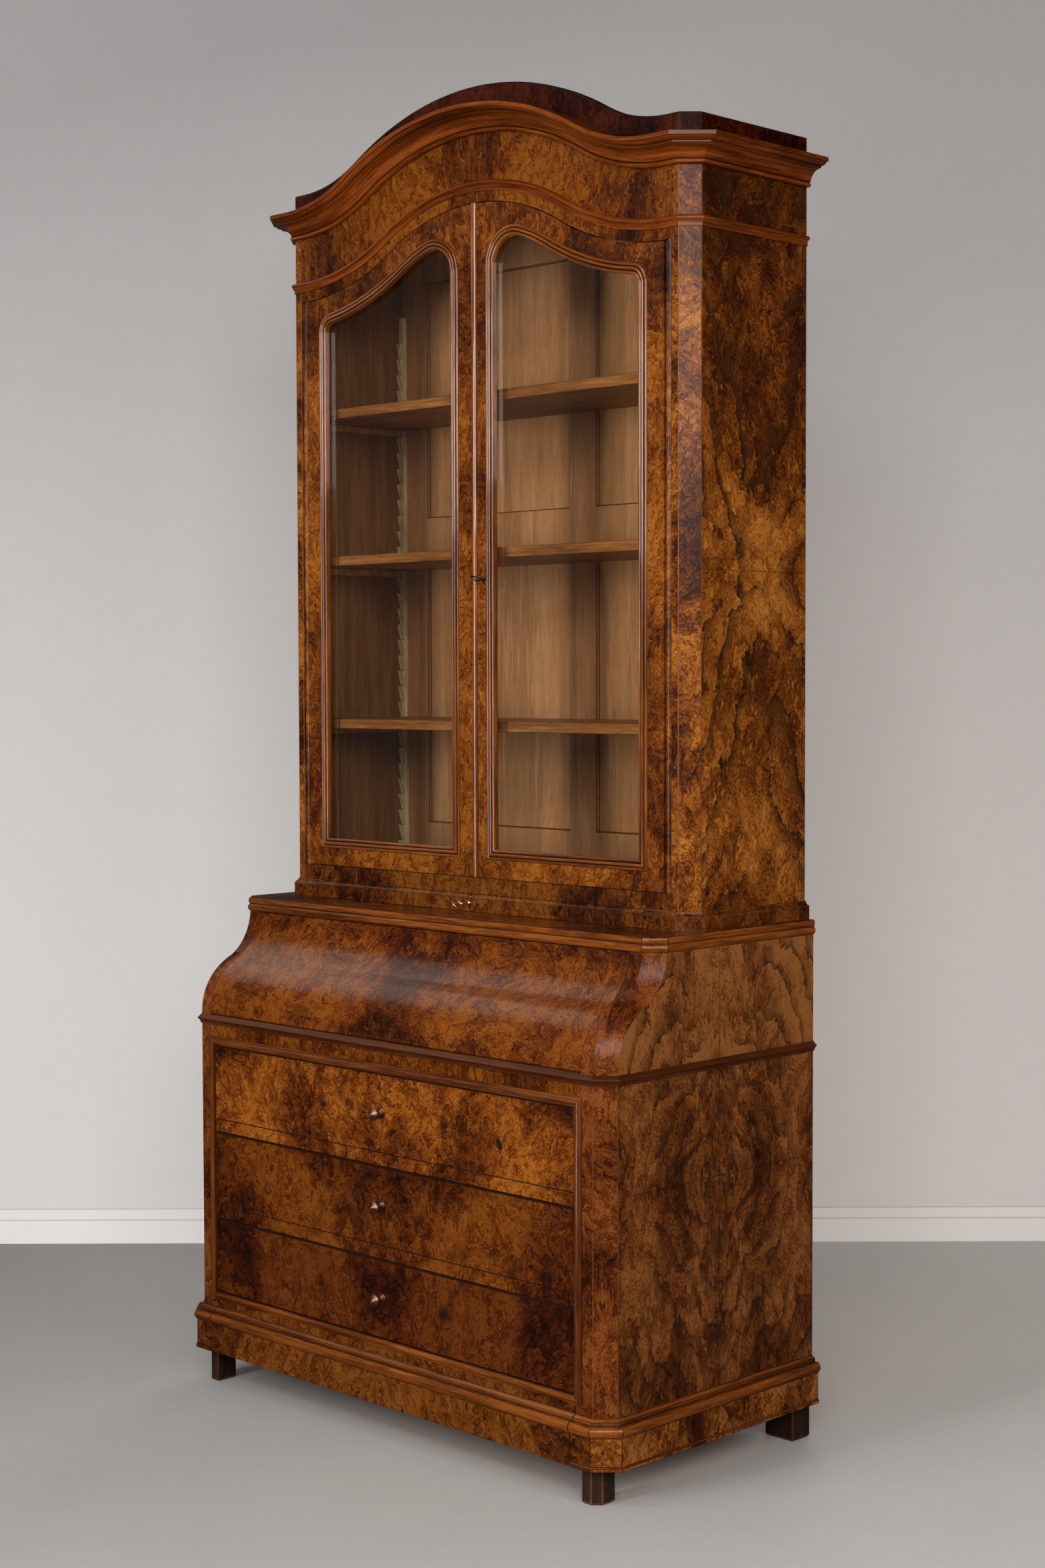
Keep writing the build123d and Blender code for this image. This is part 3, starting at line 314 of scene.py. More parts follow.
def burr(name, middle, shift, stretch, seams=None, depth="y", figure=1.0, contrast=1.0, pins=1.0,
         pin_size=1.0, veins=None, eyes=(), joint=0.0, gloss=0.55, leaf_break=None, grime_and_shade=0.0, top=None,
         light_fade=None):
    """A burr about a middle colour; shift picks the leaf and depth is the way through it.

    leaf_break starts another leaf: (above this level, moved by, how much lighter).
    The fade is painted light: it darkens or lightens the tone along an axis as the light falls off, given as
    (axis, low, high, change up to low, change from high).
    """
    material, shader, point = new_finish(name, Coat_Roughness=0.22, Coat_IOR=1.32, Specular_IOR_Level=0.05)
    place, lift = point, None
    if leaf_break:
        level, move, lighter = leaf_break
        height = parted(point)["z"]
        above = height.maths("GREATER_THAN", level)
        place, lift = point + above * move, above * lighter
    # Painted light: the tone changes along the axis, darker where less light would fall.
    if light_fade:
        axis, low, high, start, end = light_fade
        along = abs(parted(point)[axis]) + spread(noise(point, 3.0, 3.0), 0.3)
        lift = eased_step(along, low, high) * (end - start) + start
    leaf, joints = folded(place, seams or {"x": 0.0}, depth, shift)
    bent, curl = bends(leaf, stretch)
    eye = eye_shade(leaf - shift + curl * 0.8, eyes)
    colour, mottle, lines = ground(bent + curl, middle, figure, contrast, eye, lift)
    colour = knotted(colour, bent, curl, pins, pin_size)
    if veins:
        colour = veined(colour, leaf - shift, bent, curl, **veins)
    for side in joints:
        colour = mixed((1.0 - eased_step(side, *SEAM)) * joint, colour, INK)
    if grime_and_shade:
        colour = grimed_and_shaded(colour, point, grime_and_shade)
    # Painted shadow: a dark band just below the top of a drawer, where the frame or the drawer above shades
    # it.
    if top:
        colour = mixed(eased_step(parted(point)["z"], *(top - drop for drop in TOP_SHADOW_BAND)), colour, INK)
    smear = noise(point, 9.0, 3.0, 0.6)
    plug(shader, Base_Color=colour, Roughness=mottle * 0.22 + 0.4)
    plug(shader, Coat_Weight=smear * 0.5 * gloss + gloss * 0.75)
    bump(shader, mottle * 0.6 + lines * 0.2, 0.09)
    return material


front_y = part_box("lower_posts")[0].y
drawer_eyes = [(0.17, front_y, 0.615, 0.020), (0.168, front_y, 0.272, 0.021), (0.31, front_y, 0.60, 0.010)]
# Each drawer is a step darker than the one above it.
drawer_tones = {1: (0.103, 0.0215, 0.0010), 2: (0.060, 0.0112, 0.0004), 3: (0.042, 0.0068, 0.0003)}
drawer_burr = {}
# Each drawer front also has a painted shadow band along its top.
for number, tone in drawer_tones.items():
    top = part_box(f"drawer_{number}_front")[1].z
    drawer_burr[number] = burr(f"drawer {number} burr", tone, (2.1, 0.4, 1.3), (1.1, 1.0, 0.95),
                               eyes=drawer_eyes, joint=0.15, grime_and_shade=0.8, top=top)
plinth_burr = burr("plinth burr", (0.058, 0.0120, 0.0006), (5.2, 1.7, 0.3), (1.0, 1.0, 0.7), joint=0.1)
# Painted light: the plinth's side faces get a lighter copy of its burr.
lit_plinth_side_burr = burr("plinth side burr", (0.108, 0.0262, 0.0021), (2.8, 6.7, 3.3), (1.0, 1.0, 0.7))
fall_burr = burr("fall burr", (0.068, 0.0126, 0.0005), (0.7, 3.4, 2.2), (1.0, 1.1, 1.1), pins=1.2,
                 joint=0.15, gloss=0.8)
# Painted light: the door heads and the tops of the bookcase sides are darker, and the frieze is lighter in the
# middle and darker at its ends.
door_burr = burr("door burr", (0.100, 0.0222, 0.0012), (8.3, 0.9, 4.6), (1.15, 1.0, 0.9), figure=1.15,
                 contrast=0.9, light_fade=("z", 2.0, 2.18, 0.0, -0.24))
frieze_leaf = ((0.063, 0.0124, 0.0004), (3.3, 6.1, 0.8), (1.35, 1.0, 0.7))
frieze_burr = burr("frieze burr", *frieze_leaf, joint=0.1, gloss=0.2, light_fade=("x", 0.05, 0.42, 0.12, -0.13))
rail_burr = burr("rail burr", *frieze_leaf, joint=0.1, gloss=0.2)
post_burr = burr("post burr", (0.065, 0.0122, 0.0010), (6.4, 2.6, 7.7), (1.2, 1.2, 0.9), gloss=0.35)
chamfer_burr = burr("chamfer burr", (0.112, 0.0260, 0.0014), (3.1, 8.8, 0.6), (1.2, 1.2, 1.1),
                    contrast=1.1, gloss=0.3)
# The crest's burr is very dark, for its darker wood and as painted shade.
crest_burr = burr("crest burr", (0.017, 0.0017, 0.0001), (9.6, 3.2, 1.4), (1.4, 1.0, 0.7), contrast=1.3,
                  gloss=0.02)
case_veins = {"share": 0.85, "scale": 4.0, "strata": (0.0, 2.9, 2.5)}
book_veins = {"share": 1.0, "scale": 3.0, "strata": (0.0, 0.0, 1.5), "chevron": (0.155, -2.2)}
case_burr = burr("case side burr", (0.082, 0.0196, 0.0023), (1.6, 4.1, 5.9), (1.0, 1.35, 0.7),
                 {"y": 0.027, "z": 0.535}, "x", figure=0.7, contrast=0.9, pins=0.7, pin_size=1.5,
                 veins=case_veins, joint=0.7, leaf_break=(0.737, (0.0, 0.0, 3.7), 0.34))
book_burr = burr("bookcase side burr", (0.150, 0.0390, 0.0030), (4.4, 7.3, 2.9), (1.0, 1.0, 0.75),
                 {"z": 1.612}, "x", figure=0.55, contrast=0.8, pin_size=1.6, veins=book_veins, joint=0.5,
                 light_fade=("z", 1.76, 2.04, 0.0, -0.34))
print("burr veneers:", 14)

# %% [markdown]
# ## Straight walnut, inner wood and worn edges
# Mouldings are worked in straight-grained walnut, the inside is plain wood left matt.
# Stretching the place along the grain draws noise out into streaks, and long rings give the panels
# their arches.
# The same sum serves both; a moulding passes the place along its own run instead of the place in the room.

# %% Plain woods
GRAIN_DRAW = 0.055
PORE = (0.02, 0.008, 0.003, 1.0)


def straight(name, middle, along="x", ring_count=0.0, roughness=0.3, gloss=0.4, run=False, grime_and_shade=0.0,
             contrast=1.0, coat=1.34, polish=0.16):
    """Wood about a middle colour with its grain along one axis, or along a moulding's own run."""
    material, shader, point = new_finish(name, Coat_Roughness=polish, Coat_IOR=coat, Specular_IOR_Level=0.1)
    if run:
        point = point.make("ShaderNodeAttribute", "Vector", attribute_name="place")
    grain = point * tuple(GRAIN_DRAW if axis == along else 1.0 for axis in "xyz")
    bent = grain + spread(noise(grain, 7.0, out=1), 0.03)
    streak = noise(bent, 55.0, 4.0, 0.62)
    fine = noise(bent, 300.0, 3.0, 0.6)
    slow = noise(point, 2.6)
    tone = (spread(streak, 1.15) + spread(fine, 0.75) + spread(slow, 0.6)) * contrast + 0.5
    if ring_count:
        away = (bent * (1.0, 0.3, 1.0) + (0.21, 0.3, 0.03)).measure("LENGTH")
        tone = tone - rings(away, ring_count, streak * 0.9) * 0.09 + 0.03
    tones = shades(middle, (0.39, 0.37, 0.38), (1, 1, 1), (1.75, 2.1, 2.6))
    colour = tone.make("ShaderNodeValToRGB", stops=list(zip((0.15, 0.5, 0.85), tones)), inputs={0: tone})
    pore = eased_step(noise(grain, 520.0, 1.0), 0.6, 0.72)
    colour = mixed(pore * 0.35, colour, PORE)
    if grime_and_shade:
        colour = grimed_and_shaded(colour, point, grime_and_shade)
    wear = noise(point, 14.0, 3.0, 0.6)
    plug(shader, Base_Color=colour, Roughness=fine * 0.2 + (roughness - 0.08))
    plug(shader, Coat_Weight=wear * gloss + gloss * 0.5)
    bump(shader, fine - pore * 0.6, 0.10)
    return material


walnut = (0.125, 0.0285, 0.0027)
inner = (0.46, 0.20, 0.082)
# Where these woods take a share of dirt, it is dirt and painted shade together in their recesses.
worked = {"grime_and_shade": 0.9, "contrast": 1.7}
matt = {"roughness": 0.55, "gloss": 0.06}
moulding_wood = straight("moulding walnut", (0.106, 0.0202, 0.0017), run=True, gloss=0.22, grime_and_shade=0.85,
                         contrast=1.7)
frame_wood = straight("frame walnut", (0.088, 0.0195, 0.0020), run=True, gloss=0.6, coat=1.45, **worked)
bead_wood = straight("bead walnut", (0.140, 0.0350, 0.0045), run=True, gloss=1.0, grime_and_shade=0.8, contrast=1.5,
                     coat=1.55, polish=0.05)
dark_moulding = straight("dark moulding walnut", (0.056, 0.0118, 0.0016), run=True, roughness=0.45,
                         gloss=0.16, grime_and_shade=0.8)
front_wood = straight("front moulding walnut", walnut, gloss=0.5, **worked)
side_wood = straight("side moulding walnut", walnut, "y", gloss=0.5, **worked)
inner_wood = straight("inner boards", inner, "z", ring_count=26.0, contrast=0.38, **matt)
# Painted shade: the inner faces of the bookcase sides get a darker wood.
shaded_inner_side_wood = straight("inner sides", (0.20, 0.078, 0.026), "z", contrast=0.7, **matt)
board_wood = straight("inner level boards", inner, contrast=0.7, **matt)
lining_wood = straight("drawer side boards", inner, "y", contrast=0.7, **matt)
shelf_wood = straight("shelf walnut", (0.25, 0.083, 0.019), roughness=0.45, gloss=0.12)
strip_wood = straight("tooth strip wood", (0.72, 0.50, 0.28), "z", roughness=0.6, gloss=0.0)
foot_wood = straight("foot walnut", (0.022, 0.011, 0.0065), "z", roughness=0.6, gloss=0.05)
# Edge woods: the paler one is wear and a painted highlight, the near-black one dirt and painted shade in gaps.
arris = straight("rubbed and highlit edges", (0.115, 0.034, 0.008), gloss=0.3)
dark_edge = straight("dark edges", (0.013, 0.004, 0.0015), roughness=0.5, gloss=0.1)
print("plain woods:", 15)

# %% [markdown]
# ## Metal and glass
# The knobs are browned brass, the drawer key is steel and the door key is dark iron.
# Metal darkens where fingers don't rub, so its tone and its shine follow slow noise.
# The panes are plain thin glass: a clear sheet whose reflection grows towards the edge of sight.
# Panes, door pins, pivots and lock plate already have their shape as solids and only take a finish.

# %% Metals and panes
def metal(name, dull, bright, roughness):
    material, shader, point = new_finish(name, Metallic=1.0)
    stain = noise(point, 130.0, 4.0, 0.6)
    speck = noise(point, 620.0)
    colour = mixed(eased_step(stain, 0.3, 0.7), (*dull, 1.0), (*bright, 1.0))
    plug(shader, Base_Color=colour, Roughness=stain * 0.22 + speck * 0.12 + roughness)
    return material


bronze = metal("browned brass", (0.20, 0.088, 0.048), (0.40, 0.20, 0.12), 0.2)
steel = metal("key steel", (0.30, 0.27, 0.23), (0.66, 0.62, 0.56), 0.12)
iron = metal("key iron", (0.020, 0.017, 0.015), (0.085, 0.072, 0.062), 0.30)
brass = metal("aged brass", (0.26, 0.17, 0.065), (0.55, 0.40, 0.19), 0.22)

pane_finish, pane_shader, pane_point = new_finish("window glass")
pane_tree = pane_finish.node_tree
ripple = noise(pane_point, 7.0)
ripple_bump = ripple.make("ShaderNodeBump", inputs={"Strength": 0.03, "Distance": 0.004, "Height": ripple})
clear = ripple.make("ShaderNodeBsdfTransparent", inputs={"Color": (0.93, 0.95, 0.93, 1.0)})
sheen = ripple.make("ShaderNodeBsdfGlossy", inputs={"Roughness": 0.03, "Normal": ripple_bump})
edge = ripple.make("ShaderNodeFresnel", inputs={"IOR": 1.45})
film = noise(pane_point, 5.0, 3.0) * 0.004
pane_mix = edge.make("ShaderNodeMixShader", inputs={0: edge * 0.2 + film, 1: clear, 2: sheen})
pane_tree.links.new(pane_mix.socket, pane_tree.nodes["Material Output"].inputs["Surface"])
pane_tree.nodes.remove(pane_shader)


def coat_solid(node, finish):
    nodes[node].data.materials.clear()
    nodes[node].data.materials.append(finish)


for node in ("glass_left", "glass_right"):
    coat_solid(node, pane_finish)
for node in ("fall_pivots", "fall_lock", "door_pins"):
    coat_solid(node, brass)
print("metals: 4, panes: 2, metal solids: 3")

# %% [markdown]
# ## Boards with eased arrises
# A joiner takes the sharp arris off every board with one stroke of fine paper, and polish wears thin there.
# Modelling each rounded edge by hand would repeat the solids; a narrow bevel on a copy of each is enough.
# Its new faces get a paler wood, worn and painted as a highlight, so each edge shows a thin line of light;
# on pieces that meet others at a gap, they get a near-black wood instead, for dirt and painted shade in the
# gap.
# Where one solid shows two woods, each face picks its own from where it is and which way it looks.

# %% Eased copies of the boards
SAME_POINT = 1e-6
FLAT = radians(0.4)
CORNER = radians(32)
PLINTH_FACE_TOP = 0.127
PLINTH_BAND = (0.157, 0.171)


def added(name, data):
    thing = bpy.data.objects.new(name, data)
    scene.collection.objects.link(thing)
    return thing


def baked(piece):
    """The mesh of a piece as its modifiers leave it."""
    return bpy.data.meshes.new_from_object(piece.evaluated_get(bpy.context.evaluated_depsgraph_get()))


def eased(node, *finishes, ease=0.8, pick=None, edge=None):
    """A copy of the solid with arrises eased by so many millimetres, which stands for it."""
    mesh = nodes[node].data.copy()
    stale = mesh.attributes.get("custom_normal")
    if stale:
        mesh.attributes.remove(stale)
    work = bmesh.new()
    work.from_mesh(mesh)
    bmesh.ops.remove_doubles(work, verts=work.verts, dist=SAME_POINT)
    bmesh.ops.dissolve_limit(work, angle_limit=FLAT, verts=work.verts, edges=work.edges)
    work.to_mesh(mesh)
    work.free()
    mesh.materials.clear()
    for material in (*finishes, edge or arris):
        mesh.materials.append(material)
    piece = added(f"{node}_eased", mesh)
    bevel = piece.modifiers.new("ease", "BEVEL")
    bevel.width = ease / 1000
    bevel.segments = 2
    bevel.limit_method = "ANGLE"
    bevel.angle_limit = CORNER
    bevel.material = len(finishes)
    mesh.shade_smooth()
    piece.modifiers.new("flat faces", "WEIGHTED_NORMAL").weight = 90
    dressed = baked(piece)
    piece.modifiers.clear()
    piece.data = dressed
    for face in dressed.polygons:
        if pick and face.material_index < len(finishes):
            face.material_index = pick(face.center, face.normal)
    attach(piece, home[node])
    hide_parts(node)


def behind(centre, normal):
    """1 for the face that looks backwards."""
    return 1 if normal.y > 0.6 else 0


def within(side):
    """Picks 1 for faces that look towards the middle."""
    return lambda centre, normal: 1 if normal.x * side < -0.6 or normal.y > 0.9 else 0


def plinth_wood(centre, normal):
    """Burr on the flat faces, straight walnut on the mouldings; each has one for the sides as well, and the
    sides' burr is a lighter copy, painted light.
    """
    low, high = PLINTH_BAND
    flat = abs(normal.z) < 0.2 and centre.z < PLINTH_FACE_TOP or low < centre.z < high
    return (0 if flat else 1) if abs(normal.y) > abs(normal.x) else (3 if flat else 2)


def ledge_wood(centre, normal):
    """Burr on the level faces, straight walnut along the front and the sides."""
    if abs(normal.z) > 0.95:
        return 0
    return 1 if abs(normal.y) > abs(normal.x) else 2


def sideways(centre, normal):
    """1 for faces that look to a side."""
    return 1 if abs(normal.x) > 0.6 else 0


def upper_inside(centre, normal):
    """1 for the level face inside the bookcase."""
    return 1 if normal.z > 0.6 and centre.y > 0.0 else 0


plinth_finishes = (plinth_burr, front_wood, side_wood, lit_plinth_side_burr)
for side, sign in (("left", -1), ("right", 1)):
    eased(f"side_{side}", case_burr, inner_wood, pick=within(sign))
    eased(f"bookcase_side_{side}", book_burr, shaded_inner_side_wood, pick=within(sign))
    eased(f"scroll_post_{side}", post_burr, ease=1.2)
    eased(f"plinth_{side}", *plinth_finishes, pick=plinth_wood, edge=dark_edge)
    eased(f"door_{side}", door_burr, inner_wood, pick=behind, ease=1.3, edge=dark_edge)
    eased(f"small_drawer_{side}", shelf_wood, lining_wood, pick=sideways)
for number in (1, 2, 3):
    eased(f"drawer_{number}_front", drawer_burr[number], inner_wood, pick=behind, ease=1.8, edge=dark_edge)
    eased(f"drawer_{number}_box", board_wood, lining_wood, pick=sideways)
eased("plinth_drawer_front", *plinth_finishes, pick=plinth_wood, edge=dark_edge)
eased("lower_posts", post_burr, ease=1.0)
eased("bookcase_posts", chamfer_burr, ease=1.2)
eased("waist_rail", rail_burr)
eased("fall", fall_burr, ease=1.4, edge=dark_edge)
eased("ledge", fall_burr, front_wood, side_wood, pick=ledge_wood, edge=dark_edge)
eased("upper_plinth", plinth_burr, ease=1.0)
eased("key_drawer_front", plinth_burr, ease=1.2, edge=dark_edge)
eased("bookcase_floor", plinth_burr, board_wood, pick=upper_inside, ease=1.2, edge=dark_edge)
eased("frieze", frieze_burr, inner_wood, pick=behind)
eased("crest", crest_burr, ease=1.0, edge=dark_edge)
for node in ("feet_front", "feet_back"):
    eased(node, foot_wood, ease=1.5)
eased("shelves", shelf_wood, ease=1.0)
eased("shelf_strips", strip_wood, ease=0.5)
eased("shelf_cleats", board_wood)
eased("bookcase_back", inner_wood, ease=1.5)
for node in ("bookcase_top", "bottom_board", "dividers", "pigeonholes", "plinth_drawer_box",
             "key_drawer_box"):
    eased(node, board_wood, lining_wood, pick=sideways)
eased("desk_bed", front_wood)
eased("lower_back", inner_wood)

# %% [markdown]
# ## Mouldings along their runs
# Cornice, frieze moulding, waist moulding, drawer frame, glazing reeds and astragal are planed to one
# section and mitred where they turn, so each is a section that follows a path.
# A curve with a bevel object narrows at a mitre; here each point of the path carries its own mitred
# direction, and a grid of path by section is moved into place, so the section stays true round every corner.

# %% The tree that runs a section along a path
tree = bpy.data.node_groups.new("run of moulding", "GeometryNodeTree")
for name, kind in (("Path", "Geometry"), ("Section", "Object"), ("Finish", "Material")):
    tree.interface.new_socket(name, in_out="INPUT", socket_type="NodeSocket" + kind)
tree.interface.new_socket("Moulding", in_out="OUTPUT", socket_type="NodeSocketGeometry")
given = tree.nodes.new("NodeGroupInput")
path, section, finish = [Shade(tree, given.outputs[name]) for name in ("Path", "Section", "Finish")]
outline = path.make("GeometryNodeObjectInfo", "Geometry", inputs={"Object": section})
path_count, section_count = [path.make("GeometryNodeAttributeDomainSize", "Point Count",
                                       inputs={"Geometry": points}) for points in (path, outline)]
sheet = path.make("GeometryNodeMeshGrid", inputs={"Vertices X": path_count, "Vertices Y": section_count})
index = path.make("GeometryNodeInputIndex")
along = ((index + 0.5) / section_count).maths("FLOOR")
across = index - along * section_count
position = path.make("GeometryNodeInputPosition")


def sampled(source, name, at):
    """What the points of the path or of the section carry by this name, or else their place."""
    value = position
    if name:
        value = path.make("GeometryNodeInputNamedAttribute", data_type="FLOAT_VECTOR", inputs={"Name": name})
    inputs = {"Geometry": source, "Value": value, "Index": at}
    return path.make("GeometryNodeSampleIndex", data_type="FLOAT_VECTOR", inputs=inputs)


reach = parted(sampled(outline, None, across))
spot = sampled(path, None, along) + sampled(path, "side", along) * reach["x"]
spot = spot + sampled(path, "up", along) * reach["y"]
moved = path.make("GeometryNodeSetPosition", inputs={"Geometry": sheet, "Position": spot})
place = sampled(path, "run", along) + sampled(outline, "girth", across)
placed = path.make("GeometryNodeStoreNamedAttribute", data_type="FLOAT_VECTOR", domain="POINT",
                   inputs={"Geometry": moved, "Name": "place", "Value": place})
finished = path.make("GeometryNodeSetMaterial", inputs={"Geometry": placed, "Material": finish})
real = path.make("GeometryNodeRealizeInstances", inputs={"Geometry": finished})
tree.links.new(real.socket, tree.nodes.new("NodeGroupOutput").inputs[0])
sockets = {item.name: item.identifier for item in tree.interface.items_tree if item.in_out == "INPUT"}
print("moulding tree nodes:", len(tree.nodes))

# %% [markdown]
# ## Sections and paths
# A moulding drawing gives straight lines and arcs; here a section is a list of overhang and height in
# millimetres, and each arc is drawn through three points, which needs no radius.
# A path carries, at each point, the way up, the mitred way out and the length so far.

# %% Drawing a run
RUN_CORNER = radians(24)
UP, OUT = (0, 0, 1), (0, -1, 0)
ALONG, ACROSS = (1, 0, 0), (0, 1, 0)


def swept(centre, radius, first, last, steps):
    """Points on a circle between two turns, as complex numbers."""
    return [centre + rect(radius, first + (last - first) * n / steps) for n in range(steps + 1)]


def bow(start, middle, end, steps=8):
    """Points on the arc through three points, without the first."""
    a, b, c = complex(*start), complex(*middle), complex(*end)
    skew = (c - a) / (b - a)
    centre = a + (b - a) * (skew - abs(skew) ** 2) / (2j * skew.imag)
    first = phase(a - centre)
    last = first + phase((b - centre) / (a - centre)) + phase((c - centre) / (b - centre))
    return [(point.real, point.imag) for point in swept(centre, abs(a - centre), first, last, steps)[1:]]


def lengths_along(points, way):
    """The length from the first point to each, laid off one way."""
    total = [0.0]
    for before, after in zip(points, points[1:]):
        total.append(total[-1] + (Vector(after) - Vector(before)).length)
    return [Vector(way) * length for length in total]


def point_mesh(name, points, **attributes):
    """A mesh of loose points, each with these vectors."""
    mesh = bpy.data.meshes.new(name)
    mesh.from_pydata(points, [], [])
    for key, values in attributes.items():
        layer = mesh.attributes.new(key, "FLOAT_VECTOR", "POINT")
        layer.data.foreach_set("vector", [number for value in values for number in value])
    return added(name, mesh)


def mitred(points, ups, closed):
    """The way out at each point, long enough at a turn to keep the section true."""
    ways = [after - before for before, after in zip(points, points[1:])]
    before = [ways[-1] if closed else ways[0], *ways]
    after = [*ways, ways[0] if closed else ways[-1]]
    sides = []
    for coming, going, up in zip(before, after, ups):
        first, second = coming.cross(up).normalized(), going.cross(up).normalized()
        sides.append((first + second) / (1 + first.dot(second)))
    return sides


def run_moulding(node, points, ups, outline, finish, closed=False):
    """Run a section in millimetres along a path; the run stands for the solid."""
    points = [Vector(point) for point in points]
    ups = [Vector(up) for up in ups]
    outline = [(x / 1000, y / 1000, 0.0) for x, y in outline]
    sides = mitred(points, ups, closed)
    guide = point_mesh(f"{node}_path", points, side=sides, up=ups, run=lengths_along(points, ALONG))
    shape = point_mesh(f"{node}_section", outline, girth=lengths_along(outline, ACROSS))
    runner = guide.modifiers.new("run", "NODES")
    runner.node_group = tree
    runner[sockets["Section"]] = shape
    runner[sockets["Finish"]] = finish
    mesh = baked(guide)
    bpy.data.objects.remove(guide)
    bpy.data.objects.remove(shape)
    if not closed:
        work = bmesh.new()
        work.from_mesh(mesh)
        work.verts.ensure_lookup_table()
        count = len(outline)
        work.faces.new(work.verts[:count])
        work.faces.new(work.verts[-count:][::-1])
        work.to_mesh(mesh)
        work.free()
    mesh.shade_smooth()
    mesh.set_sharp_from_angle(angle=RUN_CORNER)
    piece = added(f"{node}_run", mesh)
    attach(piece, home[node])
    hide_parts(node)


cornice_section = [(0, 0), (6, 0), *bow((6, 0), (10, 4), (6, 8)), (9, 10),
                   *bow((9, 10), (16.5, 24), (33, 31), 14), (33, 34),
                   *bow((33, 34), (41, 35.5), (46, 40)), (49.4, 40), (50, 40.6), (50, 47.2), (49.2, 48),
                   (0, 48)]
frieze_section = [(0, 0), (2.4, 0), (2.4, 5), *bow((2.4, 5), (3.95, 10), (7.5, 12)), (7.9, 12.5),
                  *bow((7.9, 12.5), (7.2, 16.4), (4.7, 18.6)), (0, 20)]
waist_section = [(0, 0), (2.6, 0), *bow((2.6, 0), (4.8, 6.2), (8.4, 9.6)),
                 *bow((8.4, 9.6), (8.75, 10.4), (8.2, 11.4), 4), (0, 18.2)]
print("sections:", len(cornice_section), len(frieze_section), len(waist_section))

# %% [markdown]
# ## The arch and what follows it
# The arch is a crown between two hollows, and the mouldings above it follow it at one distance.
# Copies of one line would pinch on the slopes; lines that share the centres keep each moulding's width.
# The two level ends turn round the chamfered corners and go back along the sides.

# %% Arched runs and the waist
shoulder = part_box("frieze")[0].z - 0.002
arch_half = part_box("door_right")[1].x - 0.0075
book_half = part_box("bookcase_side_right")[1].x
book_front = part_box("bookcase_posts")[0].y
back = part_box("side_right")[1].y
arch_crown = 0.455
arch_rise = 0.132
book_chamfer = 0.029
case_chamfer = 0.0305
cornice_foot = shoulder + 0.129
frieze_moulding_foot = shoulder + 0.022
arch_radii = (arch_half ** 2 + arch_rise ** 2) / (2 * arch_rise)
arch_turn = 2 * atan(arch_rise / arch_half)


def radii_at(level):
    """The radii of the crown and of the hollows where the shoulders are at this level."""
    crown = arch_crown + level - shoulder
    return crown, arch_radii - crown


def arch_line(level, steps=26):
    """Points (x, z) along the arch from left to right, each with its turn from upright."""
    crown, hollow = radii_at(level)
    line = []
    for n in range(steps + 1):
        turn = arch_turn * n / steps
        line.append((-arch_half + hollow * sin(turn), level + hollow - hollow * cos(turn), -turn))
    for n in range(1, 2 * steps):
        turn = arch_turn * (n / steps - 1)
        line.append((crown * sin(turn), level + arch_rise - crown + crown * cos(turn), turn))
    line += [(-x, z, -turn) for x, z, turn in reversed(line[:steps + 1])]
    return line


def round_case(half, front, leg, z):
    """Corner points of a run from the back, round both chamfers."""
    right = [(half - leg, front, z), (half, front + leg, z), (half, back, z)]
    return [(-x, y, z) for x, y, z in reversed(right)], right


def arched_run(node, level, outline, finish):
    """A moulding from the back of one side, over the arch, to the back of the other."""
    left, right = round_case(book_half, book_front, book_chamfer, level)
    line = arch_line(level)
    points = left + [(x, book_front, z) for x, z, turn in line] + right
    ups = [UP] * 3 + [(sin(turn), 0, cos(turn)) for x, z, turn in line] + [UP] * 3
    run_moulding(node, points, ups, outline, finish)


arched_run("cornice", cornice_foot, cornice_section, moulding_wood)
arched_run("frieze_moulding", frieze_moulding_foot, frieze_section, moulding_wood)
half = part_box("side_right")[1].x
left, right = round_case(half, front_y, case_chamfer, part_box("waist_moulding")[0].z)
run_moulding("waist_moulding", left + right, [UP] * 6, waist_section, dark_moulding)
print("arched runs: 2, waist: 1")

# %% [markdown]
# ## Frames, reeds and astragal
# The drawer frame is mitred round three sides; its lower side is part of the concealed drawer.
# Each pane sits behind three reeds that follow the arch and its rounded corners, and the astragal on the
# right-hand door covers the joint of the pair.
# A bevel on the pane's outline would spike where arcs meet; exact fillets keep the reeds even.

# %% Flat runs on the front
frame_section = [(0, 0), (0, 3), (2, 3), *bow((2, 3), (5.6, 6), (12, 3), 12), (16, 2), (16, 0)]
reed_pitch, reed_middle, reed_width = 7.067, 2.933, 5.867
groove_middle, groove_depth = 6.467, 0.8
reed_section = [(0, 0)]
for number, height in enumerate((2.8, 4.0, 2.8)):
    start = -number * reed_pitch
    reed_section += bow((start, 0), (start - reed_middle, height), (start - reed_width, 0), 10)
    reed_section += [(start - groove_middle, -groove_depth), (start - reed_pitch, 0)]
reed_section = reed_section[:-2] + [(-20, -9)]
frame_width = 0.016
meeting_stile = 0.038
hanging_stile = 0.048
pane_margin = 0.035


